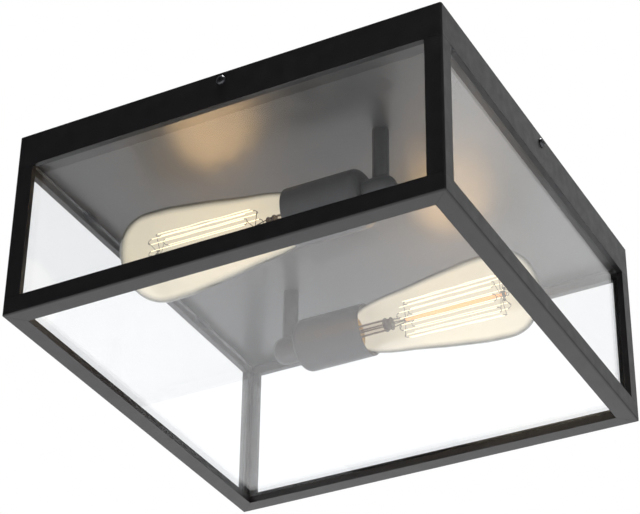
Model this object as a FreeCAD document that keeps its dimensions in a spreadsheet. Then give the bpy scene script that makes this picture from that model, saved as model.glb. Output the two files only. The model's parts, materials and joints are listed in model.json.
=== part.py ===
"""Porch ceiling lantern: a square glazed steel cage under a ceiling pan with two lamps.

Millimetres. +Z is up, the origin is the middle of the ceiling face, and the lantern hangs
below it. The front is -Y. Sizes live in one sheet, and every object reads them from there.
"""
import FreeCAD, Part
import math
import os
import re
import Sketcher

os.makedirs("parts", exist_ok=True)
doc = FreeCAD.newDocument("porch_lantern")
Vector = FreeCAD.Vector
Z_AXIS = Vector(0, 0, 1)

SIZES = {
    # cage
    "cage_width": 305.0,        # square plan, outside
    "cage_height": 138.0,       # ceiling to the underside of the bottom frame
    "ceiling_gap": 0.5,         # the cage stops short of the ceiling
    "band_height": 25.0,        # ceiling to the lower edge of the top band
    "band_lip": 4.0,            # lower return of the top band, from its outer face
    "post_face": 12.0,
    "post_lip": 4.0,
    "rail_face": 13.0,
    "rail_underside": 12.0,
    "rail_lip": 4.0,            # top return of the bottom rail, from its outer face
    "sill_height": 5.0,         # inner return that carries the bottom glass
    "steel_wall": 1.2,
    "bend_radius": 1.4,
    # glazing
    "glass_wall": 3.0,
    "glass_gap": 0.3,
    "bottom_glass_gap": 3.1,    # bottom pane to the inside of the rail's face
    "glass_below_pan": 2.0,     # top of the side glass, below the pan
    "side_glass_margin": 7.6,   # end of a side pane to the cage's outer face
    "clip_wall": 0.6,
    "clip_breadth": 11.0,
    "clip_grip": 2.4,
    "clip_root": 10.0,          # top of the clip, below the ceiling
    "clip_spread": 75.0,        # from the middle of the side
    "clip_top_gap": 0.6,
    # side screws
    "screw_drop": 6.5,          # axis below the ceiling
    "screw_radius": 2.0,
    "screw_fit": 0.1,
    "screw_head_radius": 3.3,
    "screw_head_height": 1.8,
    "screw_recess_radius": 1.3,
    "screw_recess_depth": 1.1,
    "screw_tip_gap": 0.3,
    "clinch_flats": 7.0,
    "clinch_height": 3.2,
    # ceiling pan
    "pan_clearance": 1.1,       # wall of the pan to the clinch nuts
    "pan_depth": 17.0,
    "pan_wall": 1.0,
    "pan_corner": 1.5,
    # mounting strap
    "strap_length": 148.0,
    "strap_breadth": 22.0,
    "strap_wall": 2.0,
    "slot_spacing": 79.5,
    "slot_length": 24.0,
    "slot_radius": 2.5,
    "strap_centre_radius": 5.0,
    "stud_spread": 60.0,
    "stud_radius": 2.0,
    "stud_fit": 0.1,
    "stud_below_pan": 5.0,      # what stands out of the pan for the cap nut
    "stud_nut_flats": 7.0,
    "stud_nut_height": 3.2,
    "cap_nut_radius": 4.6,
    "cap_nut_height": 7.5,
    "cap_nut_roof": 1.6,
    "earth_spot": 26.0,         # along the strap
    "earth_offset": 6.6,        # across the strap
    "earth_head_radius": 4.0,
    "earth_head_height": 2.2,
    # wiring
    "block_length": 34.0,
    "block_breadth": 17.0,
    "block_height": 11.0,
    "block_bore_radius": 1.7,
    "block_pitch": 11.0,
    "block_bore_depth": 5.0,
    "wire_radius": 0.9,
    "wire_bend": 5.4,
    "wire_crest": 4.5,          # highest run of the leads, below the ceiling
    "wire_height": 6.0,         # where they enter the block, above the floor of the pan
    "wire_approach": 12.0,      # straight run into the block
    "wire_pitch": 2.9,
    # stems and lamp holders
    "lamp_offset": 71.0,        # lamp axis from the middle
    "stem_offset": 71.5,        # stem axis from the middle
    "lamp_drop": 64.0,
    "stem_radius": 5.4,
    "stem_bore": 3.4,
    "stem_thread_radius": 4.9,
    "stem_thread_fit": 0.1,
    "stem_thread_length": 7.0,
    "stem_seat": 6.0,           # end of the stem above the lamp axis
    "stem_nut_flats": 15.0,
    "stem_nut_height": 4.0,
    "washer_radius": 9.0,
    "washer_wall": 1.2,
    "hub_radius": 9.6,
    "hub_rear": 82.5,           # behind the middle, along the lamp axis
    "hub_round": 7.5,
    "hub_bore": 3.2,
    "hub_stem_fit": 0.1,
    "cover_rear": 62.0,
    "cover_mouth": 9.0,
    "cover_radius": 18.6,
    "cover_wall": 1.0,
    "cover_round": 6.0,
    "insulator_radius": 16.0,
    "insulator_front": 17.0,
    "insulator_floor": 46.0,
    "insulator_bore": 13.9,
    "insulator_wire_bore": 3.2,
    "shell_gap": 0.15,
    "shell_wall": 0.4,
    "shell_front": 20.0,
    "shell_hole": 6.0,
    "contact_radius": 4.0,
    "contact_height": 1.7,
    "contact_dome": 1.0,
    # bulb
    "cap_radius": 13.0,
    "cap_wall": 0.35,
    "cap_front": 18.5,
    "cap_length": 21.5,
    "cap_button_radius": 4.6,
    "cap_button_height": 1.2,
    "cap_cone_height": 2.7,
    "button_gap": 0.1,
    "bulb_radius": 29.4,
    "bulb_tip": 114.5,
    "bulb_wall": 0.8,
    "neck_radius": 12.4,
    "neck_length": 12.0,        # inside the cap
    "mouth_neck_radius": 16.5,
    "mount_radius": 4.4,
    "mount_front": 3.0,
    "mount_seal": 0.2,          # flare of the mount to the inside of the neck
    "mount_flare_length": 7.0,
    "bead_radius": 4.9,
    "bead_length": 6.0,
    "rod_radius": 0.9,
    "rod_front": 94.0,
    "spider_radius": 0.4,
    "spider_rear": 20.0,        # where the straight strands start
    "spider_front": 89.0,
    "filament_rear_radius": 13.0,
    "filament_front_radius": 14.5,
    "filament_radius": 0.35,
    "filament_strands": 12,
    "spider_fit": 0.1,
    "spider_overhang": 1.2,     # how far the arms reach past the hairpins
}
NAME_PATTERN = re.compile("|".join(sorted(SIZES, key=len, reverse=True)))

sheet = doc.addObject("Spreadsheet::Sheet", "Sizes")
for row, (alias, value) in enumerate(SIZES.items(), 1):
    sheet.set("A%d" % row, alias)
    sheet.set("B%d" % row, str(value))
    sheet.setAlias("B%d" % row, alias)
doc.recompute()

HALF = "(cage_width / 2)"
GLASS_TOP = "(pan_depth + glass_below_pan)"
STUD_END = "(pan_depth + stud_below_pan)"
SIDE_GAP = "(steel_wall + clinch_height + pan_clearance)"   # outside of the cage to the pan
PAN_WIDTH = "(cage_width - 2 * %s)" % SIDE_GAP
nodes = []


def bound(expression):
    """The expression with each size qualified by the sheet's name."""
    return NAME_PATTERN.sub(lambda match: "Sizes." + match.group(0), expression)


def size(expression):
    """The present value of an expression of sizes, in millimetres."""
    return float(sheet.evalExpression(expression))


def bind(thing, **expressions):
    """Bind properties to expressions; a double underscore in a name stands for a dot."""
    for name, expression in expressions.items():
        thing.setExpression(name.replace("__", "."), bound(expression))
    return thing


def keep(thing, label=None):
    """Mark an object as one node of the part."""
    if label:
        thing.Label = label
    nodes.append(thing)
    return thing


def new_body(label):
    """An empty body."""
    body = doc.addObject("PartDesign::Body", label)
    body.Label = label
    return body


def origin_feature(body, role):
    """One of the body's own origin planes or axes."""
    return next(item for item in body.Origin.OriginFeatures if item.Role == role)


def new_sketch(body, role, name):
    """An empty sketch on one of the body's origin planes."""
    sketch = body.newObject("Sketcher::SketchObject", name)
    sketch.AttachmentSupport = (origin_feature(body, role), "")
    sketch.MapMode = "FlatFace"
    return sketch


def fix_point(sketch, geometry, point, place):
    """Hold a point of the sketch at a pair of expressions."""
    for kind, expression in zip(("DistanceX", "DistanceY"), place):
        number = sketch.addConstraint(Sketcher.Constraint(kind, geometry, point, size(expression)))
        sketch.setExpression("Constraints[%d]" % number, bound(expression))


def add_arc(sketch, start, end, centre):
    """Add the short arc between two points; return which of its ends is the start."""
    first, last, middle = (Vector(size(x), size(y), 0) for x, y in (start, end, centre))
    turn = (first - middle).cross(last - middle).z
    if turn > 0:
        low, high, start_point = first, last, 1
    else:
        low, high, start_point = last, first, 2
    circle = Part.Circle(middle, Z_AXIS, (first - middle).Length)
    arc = Part.ArcOfCircle(circle, circle.parameter(low), circle.parameter(high))
    sketch.addGeometry(arc, False)
    return start_point


def add_outline(sketch, corners):
    """Add a closed outline of (x, y) corners; (x, y, centre_x, centre_y) starts an arc there."""
    count = len(corners)
    base = sketch.GeometryCount
    starts = []
    for index, corner in enumerate(corners):
        following = corners[(index + 1) % count]
        if len(corner) == 4:
            starts.append(add_arc(sketch, corner[:2], following[:2], corner[2:]))
        else:
            ends = [Vector(size(x), size(y), 0) for x, y in (corner[:2], following[:2])]
            sketch.addGeometry(Part.LineSegment(*ends), False)
            starts.append(1)
    for index in range(count):
        after = (index + 1) % count
        joint = Sketcher.Constraint(
            "Coincident", base + index, 3 - starts[index], base + after, starts[after])
        sketch.addConstraint(joint)
    for index, corner in enumerate(corners):
        fix_point(sketch, base + index, starts[index], corner[:2])
        if len(corner) == 4:
            following = corners[(index + 1) % count]
            level = abs(size(corner[1]) - size(following[1])) < 1e-9
            kind, expression = ("DistanceY", corner[3]) if level else ("DistanceX", corner[2])
            centre = Sketcher.Constraint(kind, base + index, 3, size(expression))
            number = sketch.addConstraint(centre)
            sketch.setExpression("Constraints[%d]" % number, bound(expression))


def add_circle(sketch, x, y, radius):
    """Add a circle whose centre and radius are expressions."""
    centre = Vector(size(x), size(y), 0)
    geometry = sketch.addGeometry(Part.Circle(centre, Z_AXIS, size(radius)), False)
    number = sketch.addConstraint(Sketcher.Constraint("Radius", geometry, size(radius)))
    sketch.setExpression("Constraints[%d]" % number, bound(radius))
    fix_point(sketch, geometry, 3, (x, y))


def finish_feature(feature):
    """Recompute, so that the next feature can read this one."""
    doc.recompute()
    return feature


def pad(body, sketch, length, symmetric=True):
    """Raise a sketch by a length, both ways unless told otherwise."""
    feature = body.newObject("PartDesign::Pad", body.Name + "_pad")
    feature.Profile = sketch
    feature.SideType = "Symmetric" if symmetric else "One side"
    bind(feature, Length=length)
    return finish_feature(feature)


def pocket(body, sketch):
    """Cut a sketch right through, both ways."""
    feature = body.newObject("PartDesign::Pocket", body.Name + "_pocket")
    feature.Profile = sketch
    feature.Type = "ThroughAll"
    feature.SideType = "Symmetric"
    return finish_feature(feature)


def revolve(label, axis, corners):
    """A body turned from a half outline about its own X or Z axis."""
    body = new_body(label)
    plane = "XY_Plane" if axis == "X_Axis" else "XZ_Plane"
    sketch = new_sketch(body, plane, label + "_outline")
    add_outline(sketch, corners)
    feature = body.newObject("PartDesign::Revolution", label + "_turned")
    feature.Profile = sketch
    feature.ReferenceAxis = (origin_feature(body, axis), [""])
    feature.Angle = 360
    finish_feature(feature)
    return body


def fillet_edges(body, radius, chosen):
    """Round the edges of the body's tip for which chosen(edge) holds."""
    tip = body.Tip
    names = ["Edge%d" % n for n, edge in enumerate(tip.Shape.Edges, 1) if chosen(edge)]
    feature = body.newObject("PartDesign::Fillet", body.Name + "_round")
    feature.Base = (tip, names)
    bind(feature, Radius=radius)
    return finish_feature(feature)


def turned(degrees):
    """A turn about the lantern's upright axis."""
    return FreeCAD.Placement(Vector(), FreeCAD.Rotation(Z_AXIS, degrees))


def group(label, members):
    """One node of several separate solids."""
    compound = doc.addObject("Part::Compound", label)
    compound.Links = members
    doc.recompute()
    return keep(compound, label)


def tube(points, bend, radius):
    """A round solid along straight runs joined by tangent arcs."""
    edges = []
    start = points[0]
    for before, corner, after in zip(points, points[1:], points[2:]):
        toward = (before - corner).normalize()
        away = (after - corner).normalize()
        half_angle = toward.getAngle(away) / 2
        setback = bend / math.tan(half_angle)
        entry = corner + toward * setback
        leave = corner + away * setback
        bisector = (toward + away).normalize()
        middle = corner + bisector * (bend / math.sin(half_angle) - bend)
        edges.append(Part.LineSegment(start, entry).toShape())
        edges.append(Part.Arc(entry, middle, leave).toShape())
        start = leave
    edges.append(Part.LineSegment(start, points[-1]).toShape())
    return pipe(edges, radius)


def pipe(edges, radius):
    """A round solid along joined edges that start straight."""
    path = Part.Wire(edges)
    first = edges[0]
    heading = (first.lastVertex().Point - first.firstVertex().Point).normalize()
    circle = Part.Circle(first.firstVertex().Point, heading, radius).toShape()
    return path.makePipeShell([Part.Wire([circle])], True, False)


def feature_from(label, shape):
    """A node whose shape is made directly."""
    feature = doc.addObject("Part::Feature", label)
    feature.Shape = shape
    return feature


# ---------------------------------------------------------------- cage frame
SIDES = {"front": 0, "right": 90, "back": 180, "left": 270}
CORNERS = {"front_right": 0, "back_right": 90, "back_left": 180, "front_left": 270}
OUT = "-" + HALF


def mitre(body, reach):
    """Cut both ends of a front rail to 45 degrees, with the cage's rounded corner."""
    sketch = new_sketch(body, "XY_Plane", body.Name + "_mitre")
    round_in = "(%s - bend_radius)" % HALF
    diagonal = "(%s - bend_radius * (1 - sqrt(0.5)))" % HALF
    inner = "(%s - %s)" % (HALF, reach)
    beyond = "(%s + bend_radius)" % HALF
    for sign in ("", "-"):
        corners = [
            (sign + round_in, OUT, sign + round_in, "-" + round_in),
            (sign + diagonal, "-" + diagonal),
            (sign + inner, "-" + inner),
            (sign + beyond, "-" + inner),
            (sign + beyond, "-" + beyond),
            (sign + round_in, "-" + beyond),
        ]
        add_outline(sketch, corners)
    pocket(body, sketch)


def top_rail(side, angle):
    """One side of the top band: an upright web with a lip under it, drilled for its screw."""
    body = new_body("top_rail_" + side)
    sketch = new_sketch(body, "YZ_Plane", body.Name + "_section")
    web = "%s + steel_wall" % OUT
    lip = "%s + band_lip" % OUT
    add_outline(sketch, [
        (OUT, "-ceiling_gap"), (OUT, "-band_height"), (lip, "-band_height"),
        (lip, "-band_height + steel_wall"), (web, "-band_height + steel_wall"),
        (web, "-ceiling_gap")])
    pad(body, sketch, "cage_width")
    mitre(body, "band_lip * 2")
    hole = new_sketch(body, "XZ_Plane", body.Name + "_hole")
    add_circle(hole, "0", "-screw_drop", "screw_radius + screw_fit")
    drill = body.newObject("PartDesign::Pocket", body.Name + "_drill")
    drill.Profile = hole
    drill.SideType = "One side"
    bind(drill, Length=HALF)
    before = body.Shape.Volume
    doc.recompute()
    if body.Shape.Volume > before - 1:
        drill.Reversed = True
    finish_feature(drill)
    body.Placement = turned(angle)
    return keep(body)


def corner_post(corner, angle):
    """A folded corner upright with a return lip along each free edge."""
    body = new_body("corner_post_" + corner)
    sketch = new_sketch(body, "XY_Plane", body.Name + "_section")
    face = "(%s - post_face)" % HALF
    inner_face = "(%s - post_face + steel_wall)" % HALF
    wall = "(%s - steel_wall)" % HALF
    lip = "(%s - post_lip)" % HALF
    round_in = "(%s - bend_radius)" % HALF
    add_outline(sketch, [
        (face, OUT), (round_in, OUT, round_in, "-" + round_in), (HALF, "-" + round_in),
        (HALF, "-" + face), (lip, "-" + face), (lip, "-" + inner_face), (wall, "-" + inner_face),
        (wall, "-" + wall), (inner_face, "-" + wall), (inner_face, "-" + lip), (face, "-" + lip)])
    pad(body, sketch, "cage_height - rail_face - band_height", symmetric=False)
    body.Placement = turned(angle)
    bind(body, Placement__Base__z="rail_face - cage_height")
    return keep(body)


def bottom_rail(side, angle):
    """One side of the bottom frame, folded round to the sill that carries the bottom glass."""
    body = new_body("bottom_rail_" + side)
    sketch = new_sketch(body, "YZ_Plane", body.Name + "_section")
    under = "%s + rail_underside" % OUT
    under_wall = "%s + rail_underside - steel_wall" % OUT
    web = "%s + steel_wall" % OUT
    lip = "%s + rail_lip" % OUT
    floor = "steel_wall - cage_height"
    top = "rail_face - cage_height"
    round_y = "%s + bend_radius" % OUT
    round_z = "bend_radius - cage_height"
    add_outline(sketch, [
        (OUT, round_z, round_y, round_z), (round_y, "-cage_height"), (under, "-cage_height"),
        (under, "sill_height - cage_height"), (under_wall, "sill_height - cage_height"),
        (under_wall, floor), (web, floor), (web, top + " - steel_wall"),
        (lip, top + " - steel_wall"), (lip, top), (OUT, top)])
    pad(body, sketch, "cage_width")
    mitre(body, "rail_underside * 2")
    body.Placement = turned(angle)
    return keep(body)


# ---------------------------------------------------------------- glazing
def side_pane(side, angle):
    """A side pane, behind the lips of the band, the posts and the bottom rail."""
    pane = doc.addObject("Part::Box", "side_pane_" + side)
    bottom = "sill_height + glass_wall + glass_gap - cage_height"
    bind(pane, Length="cage_width - 2 * side_glass_margin", Width="glass_wall",
         Height="-%s - (%s)" % (GLASS_TOP, bottom))
    corner = Vector(size("side_glass_margin - cage_width / 2"),
                    size("post_lip + glass_gap - cage_width / 2"), size(bottom))
    place = FreeCAD.Placement(corner, FreeCAD.Rotation())
    pane.Placement = turned(angle).multiply(place)
    return keep(pane, "side_pane_" + side)


def bottom_pane():
    """The bottom pane, laid on the sills of the four bottom rails."""
    pane = doc.addObject("Part::Box", "bottom_pane")
    inset = "steel_wall + bottom_glass_gap"
    breadth = "cage_width - 2 * (%s)" % inset
    bind(pane, Length=breadth, Width=breadth, Height="glass_wall",
         Placement__Base__x="%s - %s" % (inset, HALF),
         Placement__Base__y="%s - %s" % (inset, HALF),
         Placement__Base__z="sill_height - cage_height")
    return keep(pane, "bottom_pane")


def pane_clips():
    """Two sprung clips on each side of the band that hold the top of the side pane."""
    root = "%s + steel_wall" % OUT
    bridge = "-%s + clip_top_gap" % GLASS_TOP
    end = "-%s - clip_grip" % GLASS_TOP
    grip = "%s + post_lip + glass_wall + 1.7 * glass_gap" % OUT
    corners = [
        (root, "-clip_root"), (root, bridge), (grip, bridge),
        (grip, end), (grip + " + clip_wall", end),
        (grip + " + clip_wall", bridge + " + clip_wall"),
        (root + " + clip_wall", bridge + " + clip_wall"), (root + " + clip_wall", "-clip_root")]
    clips = []
    for side, angle in SIDES.items():
        for sign in (-1, 1):
            body = new_body("clip_%s_%d" % (side, len(clips)))
            sketch = new_sketch(body, "YZ_Plane", body.Name + "_section")
            add_outline(sketch, corners)
            pad(body, sketch, "clip_breadth")
            spot = FreeCAD.Placement(Vector(sign * size("clip_spread"), 0, 0), FreeCAD.Rotation())
            body.Placement = turned(angle).multiply(spot)
            clips.append(body)
    return group("pane_clips", clips)


# ---------------------------------------------------------------- side screws
def lay_toward_front(angle):
    """Local +Z points out of the side, with the origin on the cage's outer face."""
    tilt = FreeCAD.Rotation(Vector(1, 0, 0), 90)
    place = FreeCAD.Placement(Vector(0, size("-cage_width / 2"), size("-screw_drop")), tilt)
    return turned(angle).multiply(place)


def side_screw(side, angle):
    """A round-headed screw that clamps the cage to the wall of the pan."""
    tip = SIDE_GAP + " - screw_tip_gap"
    body = revolve("side_screw_" + side, "Z_Axis", [
        ("0", "-(%s)" % tip), ("screw_radius", "-(%s)" % tip), ("screw_radius", "0"),
        ("screw_head_radius", "0"), ("screw_head_radius", "screw_head_height / 2"),
        ("screw_recess_radius", "screw_head_height"),
        ("screw_recess_radius", "screw_head_height - screw_recess_depth"),
        ("0", "screw_head_height - screw_recess_depth")])
    body.Placement = lay_toward_front(angle)
    return keep(body)


def hex_nut(label, flats, height, bore):
    """A hexagon nut standing on its own XY plane."""
    prism = doc.addObject("Part::Prism", label + "_prism")
    prism.Polygon = 6
    bind(prism, Circumradius=flats + " / sqrt(3)", Height=height)
    hole = doc.addObject("Part::Cylinder", label + "_bore")
    bind(hole, Radius=bore, Height=height)
    nut = doc.addObject("Part::Cut", label)
    nut.Base = prism
    nut.Tool = hole
    doc.recompute()
    return nut


def clinch_nuts():
    """A nut behind each screw hole, fixed to the inside of the band."""
    nuts = []
    for side, angle in SIDES.items():
        nut = hex_nut("clinch_" + side, "clinch_flats", "clinch_height", "screw_radius + screw_fit")
        depth = size("-steel_wall - clinch_height")
        inward = FreeCAD.Placement(Vector(0, 0, depth), FreeCAD.Rotation())
        nut.Placement = lay_toward_front(angle).multiply(inward)
        nuts.append(nut)
    return group("clinch_nuts", nuts)


# ---------------------------------------------------------------- ceiling pan
FLOOR_TOP = "(pan_wall - pan_depth)"
LAMPS = {"rear": 0, "front": 180}
STUDS = ("-", "")


def ceiling_pan():
    """A shallow tray, open to the ceiling, that carries the stems."""
    body = new_body("ceiling_pan")
    sketch = new_sketch(body, "XY_Plane", "pan_outline")
    edge = "(%s / 2)" % PAN_WIDTH
    add_outline(sketch, [("-" + edge, "-" + edge), (edge, "-" + edge), (edge, edge),
                         ("-" + edge, edge)])
    block = pad(body, sketch, "pan_depth", symmetric=False)
    block.Reversed = True
    finish_feature(block)
    upright = lambda edge: abs(edge.tangentAt(edge.FirstParameter).z) > 0.99
    fillet_edges(body, "pan_corner", upright)
    lid = new_sketch(body, "XY_Plane", "pan_hollow")
    inside = "(%s / 2 - pan_wall)" % PAN_WIDTH
    add_outline(lid, [("-" + inside, "-" + inside), (inside, "-" + inside), (inside, inside),
                      ("-" + inside, inside)])
    hollow = body.newObject("PartDesign::Pocket", "pan_hollow_cut")
    hollow.Profile = lid
    bind(hollow, Length="pan_depth - pan_wall")
    before = body.Shape.Volume
    doc.recompute()
    if body.Shape.Volume > before - 1:
        hollow.Reversed = True
    finish_feature(hollow)
    holes = new_sketch(body, "XY_Plane", "pan_holes")
    add_circle(holes, "-stem_offset", "lamp_offset", "stem_thread_radius + stem_thread_fit")
    add_circle(holes, "stem_offset", "-lamp_offset", "stem_thread_radius + stem_thread_fit")
    for sign in STUDS:
        add_circle(holes, sign + "stud_spread", "0", "stud_radius + stud_fit")
    pocket(body, holes)
    return keep(body)


def mounting_strap():
    """The slotted bar that is screwed to the ceiling box."""
    body = new_body("mounting_strap")
    sketch = new_sketch(body, "XY_Plane", "strap_outline")
    end = "(strap_length / 2)"
    edge = "(strap_breadth / 2)"
    add_outline(sketch, [("-" + end, "-" + edge), (end, "-" + edge), (end, edge), ("-" + end, edge)])
    bar = pad(body, sketch, "strap_wall", symmetric=False)
    bar.Reversed = True
    finish_feature(bar)
    holes = new_sketch(body, "XY_Plane", "strap_holes")
    add_circle(holes, "0", "0", "strap_centre_radius")
    add_circle(holes, "earth_spot", "earth_offset", "stud_radius + stud_fit")
    for sign in STUDS:
        add_circle(holes, sign + "stud_spread", "0", "stud_radius + stud_fit")
        middle = "%s(slot_spacing / 2)" % sign
        reach = "(slot_length / 2 - slot_radius)"
        left = "%s - %s" % (middle, reach)
        right = "%s + %s" % (middle, reach)
        add_outline(holes, [
            (left, "-slot_radius"), (right, "-slot_radius", right, "0"),
            (right + " + slot_radius", "0", right, "0"), (right, "slot_radius"),
            (left, "slot_radius", left, "0"), (left + " - slot_radius", "0", left, "0")])
    pocket(body, holes)
    return keep(body)


def pan_studs():
    """Two studs from the strap down through the floor of the pan."""
    studs = []
    for sign in STUDS:
        stud = doc.addObject("Part::Cylinder", "stud_%d" % len(studs))
        bind(stud, Radius="stud_radius", Height=STUD_END + " - ceiling_gap",
             Placement__Base__x=sign + "stud_spread", Placement__Base__z="-" + STUD_END)
        studs.append(stud)
    return group("pan_studs", studs)


def stud_nuts():
    """The nuts that lock the studs to the underside of the strap."""
    nuts = []
    for sign in STUDS:
        nut = hex_nut("stud_nut_%d" % len(nuts), "stud_nut_flats", "stud_nut_height",
                      "stud_radius + stud_fit")
        bind(nut, Placement__Base__x=sign + "stud_spread",
             Placement__Base__z="-strap_wall - stud_nut_height")
        nuts.append(nut)
    return group("stud_nuts", nuts)


def cap_nuts():
    """The domed nuts under the pan, the only fixings that show below it."""
    nuts = []
    for sign in STUDS:
        bore = "stud_radius + stud_fit"
        dome = "cap_nut_height - cap_nut_radius / 2"
        body = revolve("cap_nut_%d" % len(nuts), "Z_Axis", [
            (bore, "0"), ("cap_nut_radius", "0"), ("cap_nut_radius", "-(%s)" % dome),
            ("cap_nut_radius / 2", "-cap_nut_height"), ("0", "-cap_nut_height"),
            ("0", "cap_nut_roof - cap_nut_height"), (bore, "cap_nut_roof - cap_nut_height")])
        bind(body, Placement__Base__x=sign + "stud_spread", Placement__Base__z="-pan_depth")
        nuts.append(body)
    return group("cap_nuts", nuts)


def earth_screw():
    """The earthing screw in the strap, driven from below."""
    body = revolve("earth_screw", "Z_Axis", [
        ("0", "-ceiling_gap"), ("stud_radius", "-ceiling_gap"), ("stud_radius", "-strap_wall"),
        ("earth_head_radius", "-strap_wall"),
        ("earth_head_radius", "-strap_wall - earth_head_height"),
        ("0", "-strap_wall - earth_head_height")])
    bind(body, Placement__Base__x="earth_spot", Placement__Base__y="earth_offset")
    return keep(body)


# ---------------------------------------------------------------- wiring
def terminal_block():
    """The block on the floor of the pan where the lamp leads meet the supply."""
    body = new_body("terminal_block")
    sketch = new_sketch(body, "XY_Plane", "block_outline")
    end = "(block_length / 2)"
    edge = "(block_breadth / 2)"
    add_outline(sketch, [("-" + end, "-" + edge), (end, "-" + edge), (end, edge), ("-" + end, edge)])
    pad(body, sketch, "block_height", symmetric=False)
    for sign in ("-", ""):
        holes = new_sketch(body, "XZ_Plane", "block_bores")
        level = "wire_height"
        for way in ("-1", "0", "1"):
            add_circle(holes, way + " * block_pitch", level, "block_bore_radius")
        holes.AttachmentOffset = FreeCAD.Placement(
            Vector(0, 0, size(sign + "block_breadth / 2")), FreeCAD.Rotation())
        cut = body.newObject("PartDesign::Pocket", "block_cut")
        cut.Profile = holes
        bind(cut, Length="block_bore_depth")
        cut.Reversed = sign == "-"
        finish_feature(cut)
    bind(body, Placement__Base__z=FLOOR_TOP)
    return keep(body)


def lead_path(shift):
    """One lead of the rear lamp, from its holder up the stem to the terminal block."""
    axis_y = size("lamp_offset") + shift
    terminal = size("-block_pitch") if shift < 0 else 0
    inlet = Vector(terminal, size("block_breadth / 2"), size(FLOOR_TOP + " + wire_height"))
    stem_x = size("-stem_offset")
    return [
        Vector(size("-insulator_floor"), axis_y, size("-lamp_drop")),
        Vector(stem_x, axis_y, size("-lamp_drop")),
        Vector(stem_x, axis_y, size("-wire_crest")),
        inlet + Vector(0, size("wire_approach"), 0),
        inlet]


def lamp_leads(lamp, angle):
    """The pair of leads of one lamp."""
    shapes = []
    for sign in (-1, 1):
        shift = sign * size("wire_pitch") / 2
        shapes.append(tube(lead_path(shift), size("wire_bend"), size("wire_radius")))
    leads = feature_from(lamp + "_lamp_leads", Part.makeCompound(shapes))
    leads.Placement = turned(angle)
    return keep(leads, lamp + "_lamp_leads")


# ---------------------------------------------------------------- stems and lamp holders
def at_lamp(body, angle, x="0"):
    """Place a piece drawn on the rear lamp's axis, which points along +X."""
    shift = Vector(size(x), size("lamp_offset"), size("-lamp_drop"))
    body.Placement = turned(angle).multiply(FreeCAD.Placement(shift, FreeCAD.Rotation()))
    return keep(body)


def stem(lamp, angle):
    """The tube from the pan down into the hub, with its threaded neck through the pan."""
    body = revolve(lamp + "_stem", "Z_Axis", [
        ("stem_bore", "stem_seat"), ("stem_radius", "stem_seat"),
        ("stem_radius", "lamp_drop - pan_depth"), ("stem_thread_radius", "lamp_drop - pan_depth"),
        ("stem_thread_radius", "lamp_drop - pan_depth + stem_thread_length"),
        ("stem_bore", "lamp_drop - pan_depth + stem_thread_length")])
    return at_lamp(body, angle, "-stem_offset")


def stem_washers():
    """A washer round each stem's neck, on the floor of the pan."""
    washers = []
    for lamp, angle in LAMPS.items():
        bore = "stem_thread_radius + stem_thread_fit"
        body = revolve(lamp + "_washer", "Z_Axis", [
            (bore, "0"), ("washer_radius", "0"), ("washer_radius", "washer_wall"),
            (bore, "washer_wall")])
        spot = Vector(size("-stem_offset"), size("lamp_offset"), size(FLOOR_TOP))
        body.Placement = turned(angle).multiply(FreeCAD.Placement(spot, FreeCAD.Rotation()))
        washers.append(body)
    return group("stem_washers", washers)


def stem_nuts():
    """The lock nut on each stem's neck."""
    nuts = []
    for lamp, angle in LAMPS.items():
        nut = hex_nut(lamp + "_lock_nut", "stem_nut_flats", "stem_nut_height",
                      "stem_thread_radius + stem_thread_fit")
        height = size(FLOOR_TOP + " + washer_wall")
        spot = Vector(size("-stem_offset"), size("lamp_offset"), height)
        nut.Placement = turned(angle).multiply(FreeCAD.Placement(spot, FreeCAD.Rotation()))
        nuts.append(nut)
    return group("stem_nuts", nuts)


def hub(lamp, angle):
    """The elbow that turns the stem into the lamp holder, round at its rear."""
    body = revolve(lamp + "_hub", "X_Axis", [
        ("-cover_rear", "0"), ("-cover_rear", "hub_radius"),
        ("hub_round - hub_rear", "hub_radius", "hub_round - hub_rear", "hub_radius - hub_round"),
        ("-hub_rear", "hub_radius - hub_round"), ("-hub_rear", "0")])
    socket = new_sketch(body, "XY_Plane", body.Name + "_stem_hole")
    add_circle(socket, "-stem_offset", "0", "stem_radius + hub_stem_fit")
    socket.AttachmentOffset = FreeCAD.Placement(Vector(0, 0, size("stem_seat")), FreeCAD.Rotation())
    cut = body.newObject("PartDesign::Pocket", body.Name + "_stem_cut")
    cut.Profile = socket
    cut.Reversed = True
    bind(cut, Length="hub_radius")
    finish_feature(cut)
    throat = new_sketch(body, "XY_Plane", body.Name + "_throat")
    add_circle(throat, "-stem_offset", "0", "hub_bore")
    down = body.newObject("PartDesign::Pocket", body.Name + "_throat_cut")
    down.Profile = throat
    down.Reversed = True
    bind(down, Length="stem_seat")
    finish_feature(down)
    way = new_sketch(body, "YZ_Plane", body.Name + "_way")
    add_circle(way, "0", "0", "hub_bore")
    way.AttachmentOffset = FreeCAD.Placement(Vector(0, 0, size("-cover_rear")), FreeCAD.Rotation())
    along = body.newObject("PartDesign::Pocket", body.Name + "_way_cut")
    along.Profile = way
    bind(along, Length="stem_offset - cover_rear")
    finish_feature(along)
    return at_lamp(body, angle)


def socket_cover(lamp, angle):
    """The sleeve round the lamp holder, open at its mouth."""
    rim = "cover_radius - cover_wall"
    back = "-cover_rear + cover_wall"
    bend = "cover_round - cover_rear"
    body = revolve(lamp + "_socket_cover", "X_Axis", [
        ("-cover_rear", "hub_bore"),
        ("-cover_rear", "cover_radius - cover_round", bend, "cover_radius - cover_round"),
        (bend, "cover_radius"), ("-cover_mouth", "cover_radius"), ("-cover_mouth", rim),
        (bend, rim, bend, "cover_radius - cover_round"),
        (back, "cover_radius - cover_round"), (back, "hub_bore")])
    return at_lamp(body, angle)


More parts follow.
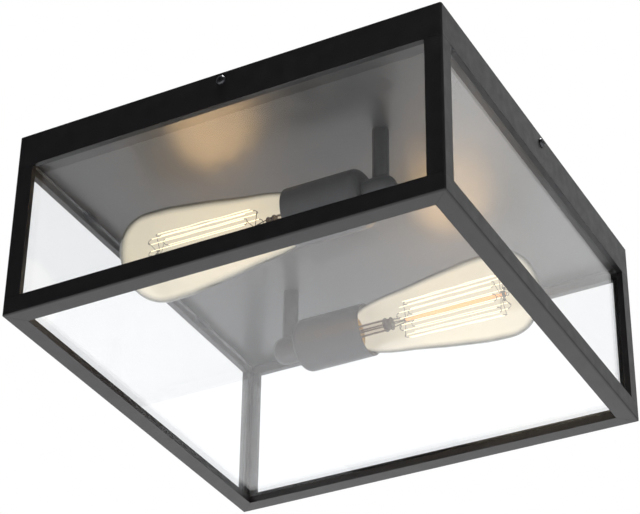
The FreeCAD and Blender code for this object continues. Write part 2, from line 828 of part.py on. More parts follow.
def socket_insulator(lamp, angle):
    """The moulded body inside the sleeve that holds the metal parts apart."""
    back = "-cover_rear + cover_wall"
    chamfer = "(insulator_radius - cover_radius + cover_round + cover_wall)"
    body = revolve(lamp + "_socket_insulator", "X_Axis", [
        (back, "insulator_wire_bore"), (back, "insulator_radius - " + chamfer),
        ("%s + %s" % (back, chamfer), "insulator_radius"),
        ("-insulator_front", "insulator_radius"), ("-insulator_front", "insulator_bore"),
        ("-insulator_floor", "insulator_bore"), ("-insulator_floor", "insulator_wire_bore")])
    return at_lamp(body, angle)


def screw_shell(lamp, angle):
    """The brass shell that the bulb's cap screws into."""
    outer = "insulator_bore - shell_gap"
    floor = "shell_gap - insulator_floor"
    body = revolve(lamp + "_screw_shell", "X_Axis", [
        (floor, "shell_hole"), (floor, outer), ("-shell_front", outer),
        ("-shell_front", outer + " - shell_wall"),
        (floor + " + shell_wall", outer + " - shell_wall"), (floor + " + shell_wall", "shell_hole")])
    return at_lamp(body, angle)


def centre_contact(lamp, angle):
    """The sprung contact in the middle of the holder's floor."""
    front = "-insulator_floor + contact_height"
    body = revolve(lamp + "_centre_contact", "X_Axis", [
        ("-insulator_floor", "0"), ("-insulator_floor", "contact_radius"),
        (front + " - contact_dome", "contact_radius"), (front, "contact_radius - contact_dome"),
        (front, "0")])
    return at_lamp(body, angle)


# ---------------------------------------------------------------- bulbs
CAP_REAR = "(-cap_front - cap_length)"
# Outer line of the glass beyond the mouth: share of the length to the tip, share of the radius.
GLASS_STATIONS = ((0.29, 0.765), (0.54, 0.92), (0.76, 1.0), (0.86, 0.965), (0.93, 0.80), (0.975, 0.53))


def glass_curve(offset):
    """The line of the envelope, moved inward by an offset, from the neck to the tip."""
    mouth = size("-cover_mouth")
    span = size("bulb_tip") - mouth
    places = [Vector(size("-cap_front"), size("neck_radius"), 0),
              Vector(mouth, size("mouth_neck_radius"), 0)]
    for along, out in GLASS_STATIONS:
        places.append(Vector(mouth + along * span, out * size("bulb_radius"), 0))
    places.append(Vector(size("bulb_tip"), 0, 0))
    start = Vector(1, 0.35, 0)
    end = Vector(0, -1, 0)
    curve = Part.BSplineCurve()
    curve.interpolate(Points=places, InitialTangent=start, FinalTangent=end)
    if not offset:
        return curve
    inner = []
    for place in places:
        tangent = curve.tangent(curve.parameter(place))[0]
        inner.append(place + Vector(tangent.y, -tangent.x, 0) * offset)
    inner[-1].y = 0
    moved = Part.BSplineCurve()
    moved.interpolate(Points=inner, InitialTangent=start, FinalTangent=end)
    return moved


def bulb_glass(lamp, angle):
    """The pear-shaped envelope: a thin shell whose neck stands in the cap."""
    outer = glass_curve(0)
    inner = glass_curve(size("bulb_wall"))
    neck_end = size("-cap_front - neck_length")
    wall = size("bulb_wall")
    neck_outer = Vector(neck_end, size("neck_radius"), 0)
    neck_inner = Vector(neck_end, size("neck_radius") - wall, 0)
    edges = [
        Part.LineSegment(neck_outer, outer.StartPoint).toShape(), outer.toShape(),
        Part.LineSegment(outer.EndPoint, inner.EndPoint).toShape(), inner.toShape(),
        Part.LineSegment(inner.StartPoint, neck_inner).toShape(),
        Part.LineSegment(neck_inner, neck_outer).toShape()]
    wire = Part.Wire(Part.__sortEdges__(edges))
    solid = Part.Face(wire).revolve(Vector(), Vector(1, 0, 0), 360)
    if solid.Volume < 0:
        solid.reverse()
    return at_lamp(feature_from(lamp + "_bulb_glass", solid), angle)


def bulb_cap(lamp, angle):
    """The brass screw cap."""
    body = revolve(lamp + "_bulb_cap", "X_Axis", [
        (CAP_REAR, "cap_radius - cap_wall"), (CAP_REAR, "cap_radius"), ("-cap_front", "cap_radius"),
        ("-cap_front", "cap_radius - cap_wall")])
    return at_lamp(body, angle)


def bulb_cap_insulator(lamp, angle):
    """The dark glass cone at the end of the cap."""
    rear = CAP_REAR + " - cap_cone_height"
    body = revolve(lamp + "_cap_insulator", "X_Axis", [
        (CAP_REAR, "0"), (CAP_REAR, "cap_radius"), (rear, "cap_button_radius"), (rear, "0")])
    return at_lamp(body, angle)


def bulb_button(lamp, angle):
    """The solder contact at the end of the bulb."""
    rear = CAP_REAR + " - cap_cone_height"
    body = revolve(lamp + "_cap_contact", "X_Axis", [
        (rear, "0"), (rear, "cap_button_radius"),
        (rear + " - cap_button_height / 2", "cap_button_radius"),
        (rear + " - cap_button_height + button_gap", "cap_button_radius / 2"),
        (rear + " - cap_button_height + button_gap", "0")])
    return at_lamp(body, angle)


def bulb_mount(lamp, angle):
    """The inner glass stem: a flare sealed to the neck, a tube and a bead."""
    neck_end = "(-cap_front - neck_length)"
    body = revolve(lamp + "_bulb_mount", "X_Axis", [
        (neck_end, "0"), (neck_end, "neck_radius - bulb_wall - mount_seal"),
        (neck_end + " + mount_flare_length", "mount_radius"), ("mount_front", "mount_radius"),
        ("mount_front", "bead_radius"), ("mount_front + bead_length", "bead_radius"),
        ("mount_front + bead_length", "0")])
    return at_lamp(body, angle)


def around(share):
    """The direction square to the lamp axis at a share of a full turn."""
    turn = 2 * math.pi * share
    return Vector(0, math.cos(turn), math.sin(turn))


def hairpin(reach):
    """Half the gap between neighbouring strands at a radius, which is the hairpin's own radius."""
    return size(reach) * math.sin(math.pi / size("filament_strands"))


def spider(lamp, angle):
    """The centre rod, and at both ends the arms that the hairpins hang on."""
    bead_end = size("mount_front + bead_length")
    solid = Part.makeCylinder(size("rod_radius"), size("rod_front") - bead_end,
                              Vector(bead_end, 0, 0), Vector(1, 0, 0))
    strands = int(size("filament_strands"))
    inside = size("filament_radius + spider_radius + spider_fit")
    for station, reach, way, first in (("spider_rear", "filament_rear_radius", -1, 2),
                                       ("spider_front", "filament_front_radius", 1, 1)):
        foot = Vector(size(station) + way * (hairpin(reach) - inside), 0, 0)
        length = size(reach) * math.cos(math.pi / strands) + size("spider_overhang")
        for number in range(first, strands + first - 1, 2):
            arm = Part.makeCylinder(size("spider_radius"), length, foot, around(number / strands))
            solid = solid.fuse(arm)
    return at_lamp(feature_from(lamp + "_bulb_spider", solid), angle)


def filament(lamp, angle):
    """One long thread laid up and down the bulb in hairpins round the spider."""
    strands = int(size("filament_strands"))
    ends = []
    for number in range(strands):
        outward = around((number + 0.5) / strands)
        rear = Vector(size("spider_rear"), 0, 0) + outward * size("filament_rear_radius")
        front = Vector(size("spider_front"), 0, 0) + outward * size("filament_front_radius")
        ends.append((rear, front) if number % 2 == 0 else (front, rear))
    edges = []
    for (start, end), following in zip(ends, ends[1:] + [None]):
        edges.append(Part.LineSegment(start, end).toShape())
        if following:
            way = Vector(end.x - start.x, 0, 0).normalize()
            middle = (end + following[0]) * 0.5
            crest = middle + way * ((following[0] - end).Length / 2)
            edges.append(Part.Arc(end, crest, following[0]).toShape())
    solid = pipe(edges, size("filament_radius"))
    return at_lamp(feature_from(lamp + "_bulb_filament", solid), angle)


# ---------------------------------------------------------------- the whole part
for side_name, side_angle in SIDES.items():
    top_rail(side_name, side_angle)
    bottom_rail(side_name, side_angle)
    side_pane(side_name, side_angle)
    side_screw(side_name, side_angle)
for corner_name, corner_angle in CORNERS.items():
    corner_post(corner_name, corner_angle)
bottom_pane()
pane_clips()
clinch_nuts()
ceiling_pan()
mounting_strap()
pan_studs()
stud_nuts()
cap_nuts()
earth_screw()
terminal_block()
stem_washers()
stem_nuts()
for lamp_name, lamp_angle in LAMPS.items():
    for build in (lamp_leads, stem, hub, socket_cover, socket_insulator, screw_shell, centre_contact,
                  bulb_glass, bulb_cap, bulb_cap_insulator, bulb_button, bulb_mount, spider, filament):
        build(lamp_name, lamp_angle)
doc.recompute()

for thing in doc.Objects:
    if "Invalid" in thing.State or "Error" in thing.State:
        raise RuntimeError("%s did not build: %s" % (thing.Name, thing.State))
for node in nodes:
    if node.Shape.isNull() or not node.Shape.isValid():
        raise RuntimeError("%s has no valid shape" % node.Label)
for node in nodes:
    node.Shape.exportStep("parts/%s.step" % node.Label)
    print("%-26s solids %2d  volume %10.1f" % (node.Label, len(node.Shape.Solids), node.Shape.Volume))
print(len(nodes), "nodes")
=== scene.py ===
"""The looks of the porch ceiling lantern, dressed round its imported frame.

Metres. +Z is up, the ceiling is the plane z = 0, and the lantern hangs below it. Its front is -Y.
"""
import json
import logging
import math
from dataclasses import dataclass, field
from enum import Enum
from typing import Any, Iterable

import bmesh
import bpy
from mathutils import Matrix, Vector

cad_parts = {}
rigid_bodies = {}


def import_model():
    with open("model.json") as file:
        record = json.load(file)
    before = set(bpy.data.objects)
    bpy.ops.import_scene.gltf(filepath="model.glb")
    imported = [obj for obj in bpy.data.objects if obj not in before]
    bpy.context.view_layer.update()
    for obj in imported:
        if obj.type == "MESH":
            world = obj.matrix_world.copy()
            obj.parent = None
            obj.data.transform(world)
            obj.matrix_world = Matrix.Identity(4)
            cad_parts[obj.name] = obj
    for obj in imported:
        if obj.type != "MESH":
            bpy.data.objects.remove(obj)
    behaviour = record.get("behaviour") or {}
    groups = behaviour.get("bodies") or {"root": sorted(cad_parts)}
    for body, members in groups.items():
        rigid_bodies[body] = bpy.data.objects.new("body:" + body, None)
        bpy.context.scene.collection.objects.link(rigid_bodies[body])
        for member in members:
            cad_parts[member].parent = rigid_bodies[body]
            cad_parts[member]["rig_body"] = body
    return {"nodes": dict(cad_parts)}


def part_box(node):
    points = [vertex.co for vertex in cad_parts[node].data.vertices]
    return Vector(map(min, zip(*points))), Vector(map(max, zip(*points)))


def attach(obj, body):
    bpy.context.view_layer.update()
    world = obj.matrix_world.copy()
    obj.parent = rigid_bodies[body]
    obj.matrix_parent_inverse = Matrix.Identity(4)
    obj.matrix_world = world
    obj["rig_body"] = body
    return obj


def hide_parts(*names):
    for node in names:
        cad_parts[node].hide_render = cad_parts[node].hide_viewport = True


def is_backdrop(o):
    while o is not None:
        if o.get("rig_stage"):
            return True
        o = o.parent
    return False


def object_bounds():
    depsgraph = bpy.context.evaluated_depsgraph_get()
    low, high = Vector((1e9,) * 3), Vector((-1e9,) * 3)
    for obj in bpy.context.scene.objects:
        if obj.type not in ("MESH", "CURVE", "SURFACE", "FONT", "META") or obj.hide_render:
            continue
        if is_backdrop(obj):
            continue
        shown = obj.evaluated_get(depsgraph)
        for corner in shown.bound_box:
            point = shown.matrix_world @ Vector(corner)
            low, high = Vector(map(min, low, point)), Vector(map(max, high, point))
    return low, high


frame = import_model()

CAD_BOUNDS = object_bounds()
MM = 0.001
LAMPS = ("rear", "front")
SIDES = ("front", "right", "back", "left")
BUNDLES = (0, 1)

# An edge that turns by more is crisp, and faces that turn by less are one, in degrees.
CRISP = 35.0
FLAT = 0.4
# Points this close are one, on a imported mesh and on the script's own.
PACKED_WELD = 0.002 * MM
WELD = 0.0001 * MM
# An M4 thread: its pitch, its first crest, and its roots as a share of the crests.
M4_PITCH = 0.7 * MM
M4_START = 0.14 * MM
M4_ROOT = 0.82
WIRE_BEVEL_STEPS = 1
WIRE_CURVE_STEPS = 4
# A Mix node takes its share at 0, its numbers at 2 and 3 and its colours at 6 and 7.
SMOOTH = {"interpolation_type": "SMOOTHSTEP"}
NUMBERS = {"data_type": "FLOAT"}
COLOURS = {"data_type": "RGBA"}
# Noise seldom leaves this band.
NOISE_LOW = 0.3
NOISE_HIGH = 0.7

log = logging.getLogger("lantern")
logging.basicConfig(level=logging.INFO, format="%(name)s: %(message)s")


# ---- colour and nodes
def linear(code: str) -> tuple[float, float, float, float]:
    """Turn an sRGB hex colour into linear light.

    Args:
        code: Six hex digits after a hash.

    Returns:
        Red, green and blue, and an alpha of 1.
    """
    channels = [int(code[place:place + 2], 16) / 255 for place in (1, 3, 5)]
    light = [c / 12.92 if c <= 0.04045 else ((c + 0.055) / 1.055) ** 2.4 for c in channels]
    return (light[0], light[1], light[2], 1.0)


def add_node(tree: bpy.types.NodeTree, kind: str, settings: dict[str, Any] | None = None,
             inputs: dict[Any, Any] | None = None) -> bpy.types.Node:
    """Add a node, set its properties, and fill or link its inputs.

    Args:
        tree: The tree that gets the node.
        kind: The node's type name.
        settings: Property values by name.
        inputs: Values, or sockets to link from, by input name or number.

    Returns:
        The new node.
    """
    node = tree.nodes.new(kind)
    for name, value in (settings or {}).items():
        setattr(node, name, value)
    for name, value in (inputs or {}).items():
        if isinstance(value, bpy.types.NodeSocket):
            tree.links.new(value, node.inputs[name])
        else:
            node.inputs[name].default_value = value
    return node


class Texture(Enum):
    """How a finish breaks up its surface, with the detail of its noise."""

    NONE = 0.0
    ORANGE_PEEL = 1.0
    DRAWN = 2.0
    GRAIN = 3.0


@dataclass(frozen=True)
class Finish:
    """One surface finish, as its maker would name it. Names that end in _mm hold real millimetres."""

    name: str
    colour: str
    second_colour: str = ""
    metallic: float = 0.0
    roughness: float = 0.5
    roughness_swing: float = 0.0
    ior: float = 1.5
    texture: Texture = Texture.NONE
    texture_mm: float = 1.0
    depth_mm: float = 0.0
    mottle_mm: float = 20.0
    glow: str = ""
    glow_strength: float = 0.0
    opacity: float = 1.0
    clear: float = 0.0
    stretch_mm: tuple[float, float, float] = (1.0, 1.0, 1.0)

    def build(self) -> bpy.types.Material:
        """Make the material.

        Returns:
            A node material whose patterns have their real size.
        """
        material = bpy.data.materials.new(self.name)
        material.use_nodes = True
        tree = material.node_tree
        tree.nodes.clear()
        shader = add_node(tree, "ShaderNodeBsdfPrincipled", inputs={
            "Base Color": linear(self.colour), "Metallic": self.metallic, "IOR": self.ior,
            "Roughness": self.roughness, "Alpha": self.opacity, "Transmission Weight": self.clear})
        if self.glow:
            shader.inputs["Emission Color"].default_value = linear(self.glow)
            shader.inputs["Emission Strength"].default_value = self.glow_strength
        self.break_up(tree, shader)
        surface = shader.outputs[0]
        if self.clear:
            surface = self.let_light_through(tree, surface)
        add_node(tree, "ShaderNodeOutputMaterial", inputs={"Surface": surface})
        return material

    def break_up(self, tree: bpy.types.NodeTree, shader: bpy.types.Node) -> None:
        """Give the shader its colour variation, its uneven gloss and its relief.

        Args:
            tree: The material's tree.
            shader: The shader to feed.
        """
        if self.texture is Texture.NONE:
            return
        place = add_node(tree, "ShaderNodeTexCoord")
        stretched = add_node(tree, "ShaderNodeMapping", inputs={
            "Vector": place.outputs["Object"],
            "Scale": tuple(1 / (MM * along) for along in self.stretch_mm)})
        mottle = add_node(tree, "ShaderNodeTexNoise", inputs={
            "Vector": place.outputs["Object"], "Scale": 1 / (MM * self.mottle_mm), "Detail": 4.0,
            "Roughness": 0.6})
        if self.second_colour:
            blend = add_node(tree, "ShaderNodeMix", COLOURS, {
                "Factor": mottle.outputs["Fac"], 6: linear(self.colour),
                7: linear(self.second_colour)})
            tree.links.new(blend.outputs[2], shader.inputs["Base Color"])
        if self.roughness_swing:
            swing = add_node(tree, "ShaderNodeMapRange", inputs={
                "Value": mottle.outputs["Fac"], "From Min": NOISE_LOW, "From Max": NOISE_HIGH,
                "To Min": self.roughness - self.roughness_swing,
                "To Max": self.roughness + self.roughness_swing})
            tree.links.new(swing.outputs[0], shader.inputs["Roughness"])
        if self.depth_mm:
            relief = add_node(tree, "ShaderNodeTexNoise", inputs={
                "Vector": stretched.outputs[0], "Scale": 1 / self.texture_mm,
                "Detail": self.texture.value})
            bump = add_node(tree, "ShaderNodeBump", inputs={
                "Height": relief.outputs["Fac"], "Distance": MM * self.depth_mm, "Strength": 1.0})
            tree.links.new(bump.outputs[0], shader.inputs["Normal"])

    def let_light_through(self, tree: bpy.types.NodeTree,
                          surface: bpy.types.NodeSocket) -> bpy.types.NodeSocket:
        """Let lamp light pass clear glass straight, so that what stands behind it is lit.

        Args:
            tree: The material's tree.
            surface: The glass shader's output.

        Returns:
            The output to show.
        """
        rays = add_node(tree, "ShaderNodeLightPath")
        passing = add_node(tree, "ShaderNodeBsdfTransparent", inputs={"Color": linear(self.colour)})
        switch = add_node(tree, "ShaderNodeMixShader", inputs={
            0: rays.outputs["Is Shadow Ray"], 1: surface, 2: passing.outputs[0]})
        return switch.outputs[0]


# Powder coat on folded steel: polyester baked on, so an even satin with a fine orange peel.
POWDER_COAT = Finish("black_powder_coat", "#100f10", "#161517", roughness=0.37, ior=1.4,
                     roughness_swing=0.05, texture=Texture.ORANGE_PEEL, texture_mm=0.9,
                     depth_mm=0.03, mottle_mm=9.0)
# Clear glass: flat, so only its reflections tell of it, and they are weak in the photograph.
FLOAT_GLASS = Finish("clear_float_glass", "#fdfeff", roughness=0.0, ior=1.4, clear=1.0)
# Satin enamel sprayed on the pan: a grey with soft gloss, a little cloudy like sprayed sheet.
PAN_ENAMEL = Finish("satin_pan_enamel", "#454546", "#565656", metallic=0.5, roughness=0.33,
                    roughness_swing=0.05, texture=Texture.ORANGE_PEEL, texture_mm=2.6,
                    depth_mm=0.016, mottle_mm=14.0)
# The same enamel in a darker grey on the lamp holders and stems.
HOLDER_ENAMEL = Finish("satin_holder_enamel", "#1e1d1f", "#262527", roughness=0.5,
                       roughness_swing=0.05, texture=Texture.ORANGE_PEEL, texture_mm=1.8,
                       depth_mm=0.006, mottle_mm=12.0)
# Zinc plate on pressed steel: pale, a little streaked by its rolling.
ZINC = Finish("zinc_plated_steel", "#b9bcc0", "#b0b3b7", metallic=1.0, roughness=0.38,
              roughness_swing=0.04, texture=Texture.DRAWN, texture_mm=1.0, depth_mm=0.004,
              mottle_mm=12.0, stretch_mm=(6.0, 0.6, 0.6))
# Blued spring steel of the glass clips: a dark blue grey with a dull shine.
BLUED_STEEL = Finish("blued_spring_steel", "#2c2e33", "#383a40", metallic=0.9, roughness=0.4,
                     roughness_swing=0.06, texture=Texture.GRAIN, texture_mm=0.8,
                     depth_mm=0.005, mottle_mm=5.0)
# Blackened steel screws: a dark grey with a cloudy satin shine.
SCREW_STEEL = Finish("blackened_screw_steel", "#4d4e51", "#3b3c3e", metallic=0.85, roughness=0.34,
                     roughness_swing=0.08, texture=Texture.GRAIN, texture_mm=0.6,
                     depth_mm=0.01, mottle_mm=2.0)
# Clear green lacquer on the steel earth screw: metal shows through, so it stays bright.
GREEN_LACQUER = Finish("green_lacquered_steel", "#1d7a3c", "#18692f", metallic=0.4,
                       roughness=0.35, texture=Texture.GRAIN, texture_mm=0.8, depth_mm=0.005,
                       mottle_mm=3.0)
# Moulded nylon of the terminal block: a warm off-white with the mould's faint sheen.
BLOCK_NYLON = Finish("moulded_nylon", "#dedcd2", "#d3d1c6", roughness=0.48,
                     roughness_swing=0.05, texture=Texture.GRAIN, texture_mm=0.7,
                     depth_mm=0.01, mottle_mm=8.0)
# Silicone rubber sleeve of the leads: a dull black without a highlight.
LEAD_SLEEVE = Finish("silicone_lead_sleeve", "#2a2a2c", "#333335", roughness=0.6,
                     texture=Texture.GRAIN, texture_mm=0.8, depth_mm=0.008, mottle_mm=6.0)
# Steatite of the lamp holder, fired without glaze: chalky, with a fine gritty skin.
STEATITE = Finish("fired_steatite", "#e4e0d4", "#d8d3c5", roughness=0.62,
                  roughness_swing=0.05, texture=Texture.GRAIN, texture_mm=0.5,
                  depth_mm=0.02, mottle_mm=9.0)
# Pressed brass of the shells, contacts and caps: yellow, with fine streaks from the press.
BRASS = Finish("pressed_brass", "#c9a45c", "#b8924b", metallic=1.0, roughness=0.3,
               roughness_swing=0.08, texture=Texture.DRAWN, texture_mm=0.8, depth_mm=0.006,
               mottle_mm=5.0)
# Poured black glass in the cap: near black and glossy, faintly uneven as it set.
BLACK_GLASS = Finish("black_cap_glass", "#0d0d0f", "#151517", roughness=0.12,
                     texture=Texture.GRAIN, texture_mm=1.5, depth_mm=0.01, mottle_mm=4.0)
# Solder on the cap's contact: a pale frosted grey with the ripples of its setting.
SOLDER = Finish("soldered_contact", "#c2c3c6", "#aeb0b3", metallic=1.0, roughness=0.42,
                roughness_swing=0.08, texture=Texture.GRAIN, texture_mm=0.9, depth_mm=0.03,
                mottle_mm=2.5)
# Drawn glass of the bulb's mount, smoked by the getter: a faint clear brown.
MOUNT_GLASS = Finish("smoked_mount_glass", "#b98d50", "#8f6430", roughness=0.12, ior=1.2,
                     opacity=0.18, texture=Texture.GRAIN, texture_mm=1.5, depth_mm=0.01,
                     mottle_mm=4.0)
# Fused glass round the wires, darkened by the flame: a deep brown with a soft gloss.
BEAD_GLASS = Finish("fused_bead_glass", "#43250a", "#2a1705", roughness=0.25, ior=1.3,
                    texture=Texture.GRAIN, texture_mm=1.2, depth_mm=0.02, mottle_mm=2.0)
# Oxidised lead and support wires: a dull brown with no metal shine left.
DARK_WIRE = Finish("oxidised_support_wire", "#331c08", "#241305", ior=1.3, roughness=0.45,
                   texture=Texture.GRAIN, texture_mm=0.5, depth_mm=0.004, mottle_mm=2.0)
# Carbon thread at working heat: pale yellow white.
FILAMENT = Finish("glowing_carbon_thread", "#ffe9b8", "#ffdf9c", roughness=0.6, glow="#fff3d2",
                  glow_strength=1.5, texture=Texture.GRAIN, texture_mm=0.8, depth_mm=0.002,
                  mottle_mm=3.0)
# Matt paint on the studio floor: an even pale grey without shine.
PALE_FLOOR = Finish("pale_floor", "#f2f2f3", "#eeeeef", roughness=0.8, texture=Texture.GRAIN,
                    texture_mm=3.0, depth_mm=0.01, mottle_mm=400.0)


@dataclass(frozen=True)
class LitGlass:
    """Glass that glows with the light inside it, painted on as a glow, and darkens to a line where it
    is seen edge-on, a painted shade.
    """

    name: str
    body: str
    second_body: str
    # The rim's colour and the rim's glow below it are painted darker where the glass is seen edge-on,
    # a painted shade.
    rim: str
    glow: str
    rim_shade_glow: str
    glow_strength: float
    near_opacity: float
    far_opacity: float
    back_opacity: float
    rim_start: float
    rim_end: float
    rim_opacity: float
    roughness: float = 0.06
    ior: float = 1.5
    mottle_mm: float = 22.0
    clear_until: float = 4.0 * MM
    hazy_from: float = 34.0 * MM

    def build(self) -> bpy.types.Material:
        """Make the material.

        Returns:
            A node material with a painted glow on its face and a painted shade darkening its rim.
        """
        material = bpy.data.materials.new(self.name)
        material.use_nodes = True
        tree = material.node_tree
        tree.nodes.clear()
        facing = add_node(tree, "ShaderNodeLayerWeight", inputs={"Blend": 0.5})
        # The mask of the painted rim shade: how edge-on the glass is seen.
        rim = add_node(tree, "ShaderNodeMapRange", SMOOTH, {
            "Value": facing.outputs["Facing"], "From Min": self.rim_start, "From Max": self.rim_end})
        place = add_node(tree, "ShaderNodeTexCoord")
        cloud = add_node(tree, "ShaderNodeTexNoise", inputs={
            "Vector": place.outputs["Object"], "Scale": 1 / (MM * self.mottle_mm), "Detail": 3.0})
        face = add_node(tree, "ShaderNodeMix", COLOURS, {
            "Factor": cloud.outputs["Fac"], 6: linear(self.body), 7: linear(self.second_body)})
        # Painted shade: the face's colour darkens to the rim's colour, and the glow darkens to the
        # rim's dimmer glow.
        colour = add_node(tree, "ShaderNodeMix", COLOURS, {
            "Factor": rim.outputs[0], 6: face.outputs[2], 7: linear(self.rim)})
        light = add_node(tree, "ShaderNodeMix", COLOURS, {
            "Factor": rim.outputs[0], 6: linear(self.glow), 7: linear(self.rim_shade_glow)})
        shader = add_node(tree, "ShaderNodeBsdfPrincipled", inputs={
            "Base Color": colour.outputs[2], "Roughness": self.roughness, "IOR": self.ior,
            "Alpha": self.opacity(tree, place, rim), "Emission Color": light.outputs[2],
            "Emission Strength": self.glow_strength})
        add_node(tree, "ShaderNodeOutputMaterial", inputs={"Surface": shader.outputs[0]})
        return material

    def opacity(self, tree: bpy.types.NodeTree, place: bpy.types.Node,
                rim: bpy.types.Node) -> bpy.types.NodeSocket:
        """How much the glass hides: least at the neck, more over the thread and at the far wall.

        Args:
            tree: The material's tree.
            place: Its coordinates.
            rim: How edge-on the glass is seen.

        Returns:
            The opacity's output.
        """
        apart = add_node(tree, "ShaderNodeSeparateXYZ", inputs={0: place.outputs["Object"]})
        along = add_node(tree, "ShaderNodeMath", {"operation": "ABSOLUTE"}, {0: apart.outputs["X"]})
        near = add_node(tree, "ShaderNodeMapRange", SMOOTH, {
            "Value": along.outputs[0], "From Min": self.clear_until, "From Max": self.hazy_from,
            "To Min": self.near_opacity, "To Max": self.far_opacity})
        wall = add_node(tree, "ShaderNodeNewGeometry")
        face = add_node(tree, "ShaderNodeMix", NUMBERS, {
            0: wall.outputs["Backfacing"], 2: near.outputs[0], 3: self.back_opacity})
        whole = add_node(tree, "ShaderNodeMix", NUMBERS, {
            0: rim.outputs[0], 2: face.outputs[0], 3: self.rim_opacity})
        return whole.outputs[0]


# Amber glass round a glowing thread: it scatters a cream light, painted on as a glow; at its rim its
# own olive tint is darkened by painted shade.
AMBER_GLASS = LitGlass("lit_amber_glass", "#bdb69f", "#bfb596", "#3d3a20", "#ebe5d8", "#15140a",
                       glow_strength=0.54, near_opacity=0.02, far_opacity=0.22, back_opacity=0.82,
                       rim_start=0.44, rim_end=0.8, rim_opacity=0.95, ior=1.2)
# The centre rod of drawn glass glows peach between the strands with the thread's light, painted on as
# a glow, and its brown edges are painted shade.
ROD_GLASS = LitGlass("glowing_glass_rod", "#c07a3c", "#a9692f", "#4a2a10", "#ffb871", "#2e1808",
                     glow_strength=0.9, near_opacity=1.0, far_opacity=1.0, back_opacity=1.0,
                     rim_start=0.3, rim_end=0.7, rim_opacity=1.0, roughness=0.2, mottle_mm=6.0)


Dress = Finish | LitGlass


class Wardrobe:
    """Builds each finish once and hands it out."""

    def __init__(self) -> None:
        """Start with nothing built."""
        self._built: dict[str, bpy.types.Material] = {}

    def get(self, finish: Dress) -> bpy.types.Material:
        """Give the material of a finish, built on first use.

        Args:
            finish: The finish that a piece wears.

        Returns:
            Its material.
        """
        if finish.name not in self._built:
            self._built[finish.name] = finish.build()
        return self._built[finish.name]


wardrobe = Wardrobe()


# ---- meshes
def body_of_node(node: str) -> str:
    """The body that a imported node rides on."""
    return frame["nodes"][node]["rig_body"]


def put(name: str, data: bpy.types.ID) -> bpy.types.Object:
    """Put a new object into the scene.

    Args:
        name: The object's name.
        data: Its mesh, camera or light.

    Returns:
        The object.
    """
    thing = bpy.data.objects.new(name, data)
    bpy.context.scene.collection.objects.link(thing)
    return thing


def finish_piece(name: str, mesh: bmesh.types.BMesh, finish: Dress, body: str,
                 nodes: Iterable[str] = (), sharp: float = CRISP) -> bpy.types.Object:
    """Turn a bmesh into a finished piece on its body.

    Args:
        name: The piece's name.
        mesh: Its shape; it is freed.
        finish: The finish it wears.
        body: The body it rides on.
        nodes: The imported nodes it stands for.
        sharp: Edges that turn more than this, in degrees, stay crisp.

    Returns:
        The new object.
    """
    limit = math.radians(sharp)
    for face in mesh.faces:
        face.smooth = True
    for edge in mesh.edges:
        edge.smooth = len(edge.link_faces) == 2 and edge.calc_face_angle(0.0) < limit
    data = bpy.data.meshes.new(name)
    mesh.to_mesh(data)
    mesh.free()
    piece = put(name, data)
    data.materials.append(wardrobe.get(finish))
    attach(piece, body)
    if nodes:
        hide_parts(*nodes)
    log.info("%s: %d faces on %s", name, len(data.polygons), body)
    return piece


def refine(node: str, finish: Dress, bevel_mm: float) -> bpy.types.Object:
    """A merged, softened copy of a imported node, in the node's place.

    Args:
        node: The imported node.
        finish: The finish it wears.
        bevel_mm: How far its crisp edges are rounded; 0 leaves them.

    Returns:
        The new piece.
    """
    mesh = bmesh.new()
    mesh.from_mesh(frame["nodes"][node].data)
    bmesh.ops.remove_doubles(mesh, verts=mesh.verts, dist=PACKED_WELD)
    bmesh.ops.dissolve_limit(mesh, angle_limit=math.radians(FLAT), verts=mesh.verts,
                             edges=mesh.edges)
    if bevel_mm:
        limit = math.radians(CRISP)
        crisp = [edge for edge in mesh.edges
                 if len(edge.link_faces) == 2 and edge.calc_face_angle(0.0) > limit]
        bmesh.ops.bevel(mesh, geom=crisp, offset=bevel_mm * MM, affect="EDGES", segments=2,
                        profile=0.5, material=-1, clamp_overlap=True)
    piece = finish_piece(node + "_skin", mesh, finish, body_of_node(node), [node])
    flatten = piece.modifiers.new("flat faces between round edges", "WEIGHTED_NORMAL")
    flatten.keep_sharp = True
    return piece


def turned_mesh(profile: list[tuple[float, float]], steps: int) -> bmesh.types.BMesh:
    """Spin a half outline about the X axis.

    Args:
        profile: Places along the axis and radii, in metres, from one end to the other.
        steps: How many facets the turn has.

    Returns:
        A bmesh about the origin, its faces outwards.
    """
    mesh = bmesh.new()
    ring = [mesh.verts.new((along, 0.0, out)) for along, out in profile]
    edges = [mesh.edges.new(pair) for pair in zip(ring, ring[1:])]
    bmesh.ops.spin(mesh, geom=ring + edges, cent=(0, 0, 0), axis=(1, 0, 0), angle=2 * math.pi,
                   steps=steps, use_merge=True)
    bmesh.ops.remove_doubles(mesh, verts=mesh.verts, dist=WELD)
    bmesh.ops.recalc_face_normals(mesh, faces=mesh.faces)
    return mesh


def thread_line(start: float, length: float, radius: float) -> list[tuple[float, float]]:
    """The half outline of an M4 thread: crests and roots along the axis.

    Args:
        start: Where the thread starts.
        length: How long it is.
        radius: The radius of its crests.

    Returns:
        Places and radii.
    """
    line = []
    for turn in range(int(length / M4_PITCH)):
        crest = start + M4_START + turn * M4_PITCH
        line += [(crest, radius), (crest + M4_PITCH / 2, radius * M4_ROOT)]
    return line


def mesh_of(curve: bpy.types.Curve) -> bpy.types.Mesh:
    """Turn a curve into a mesh and remove the curve.

    Args:
        curve: The curve.

    Returns:
        Its mesh.
    """
    holder = bpy.data.objects.new("curve", curve)
    data = bpy.data.meshes.new_from_object(holder)
    bpy.data.objects.remove(holder)
    bpy.data.curves.remove(curve)
    return data


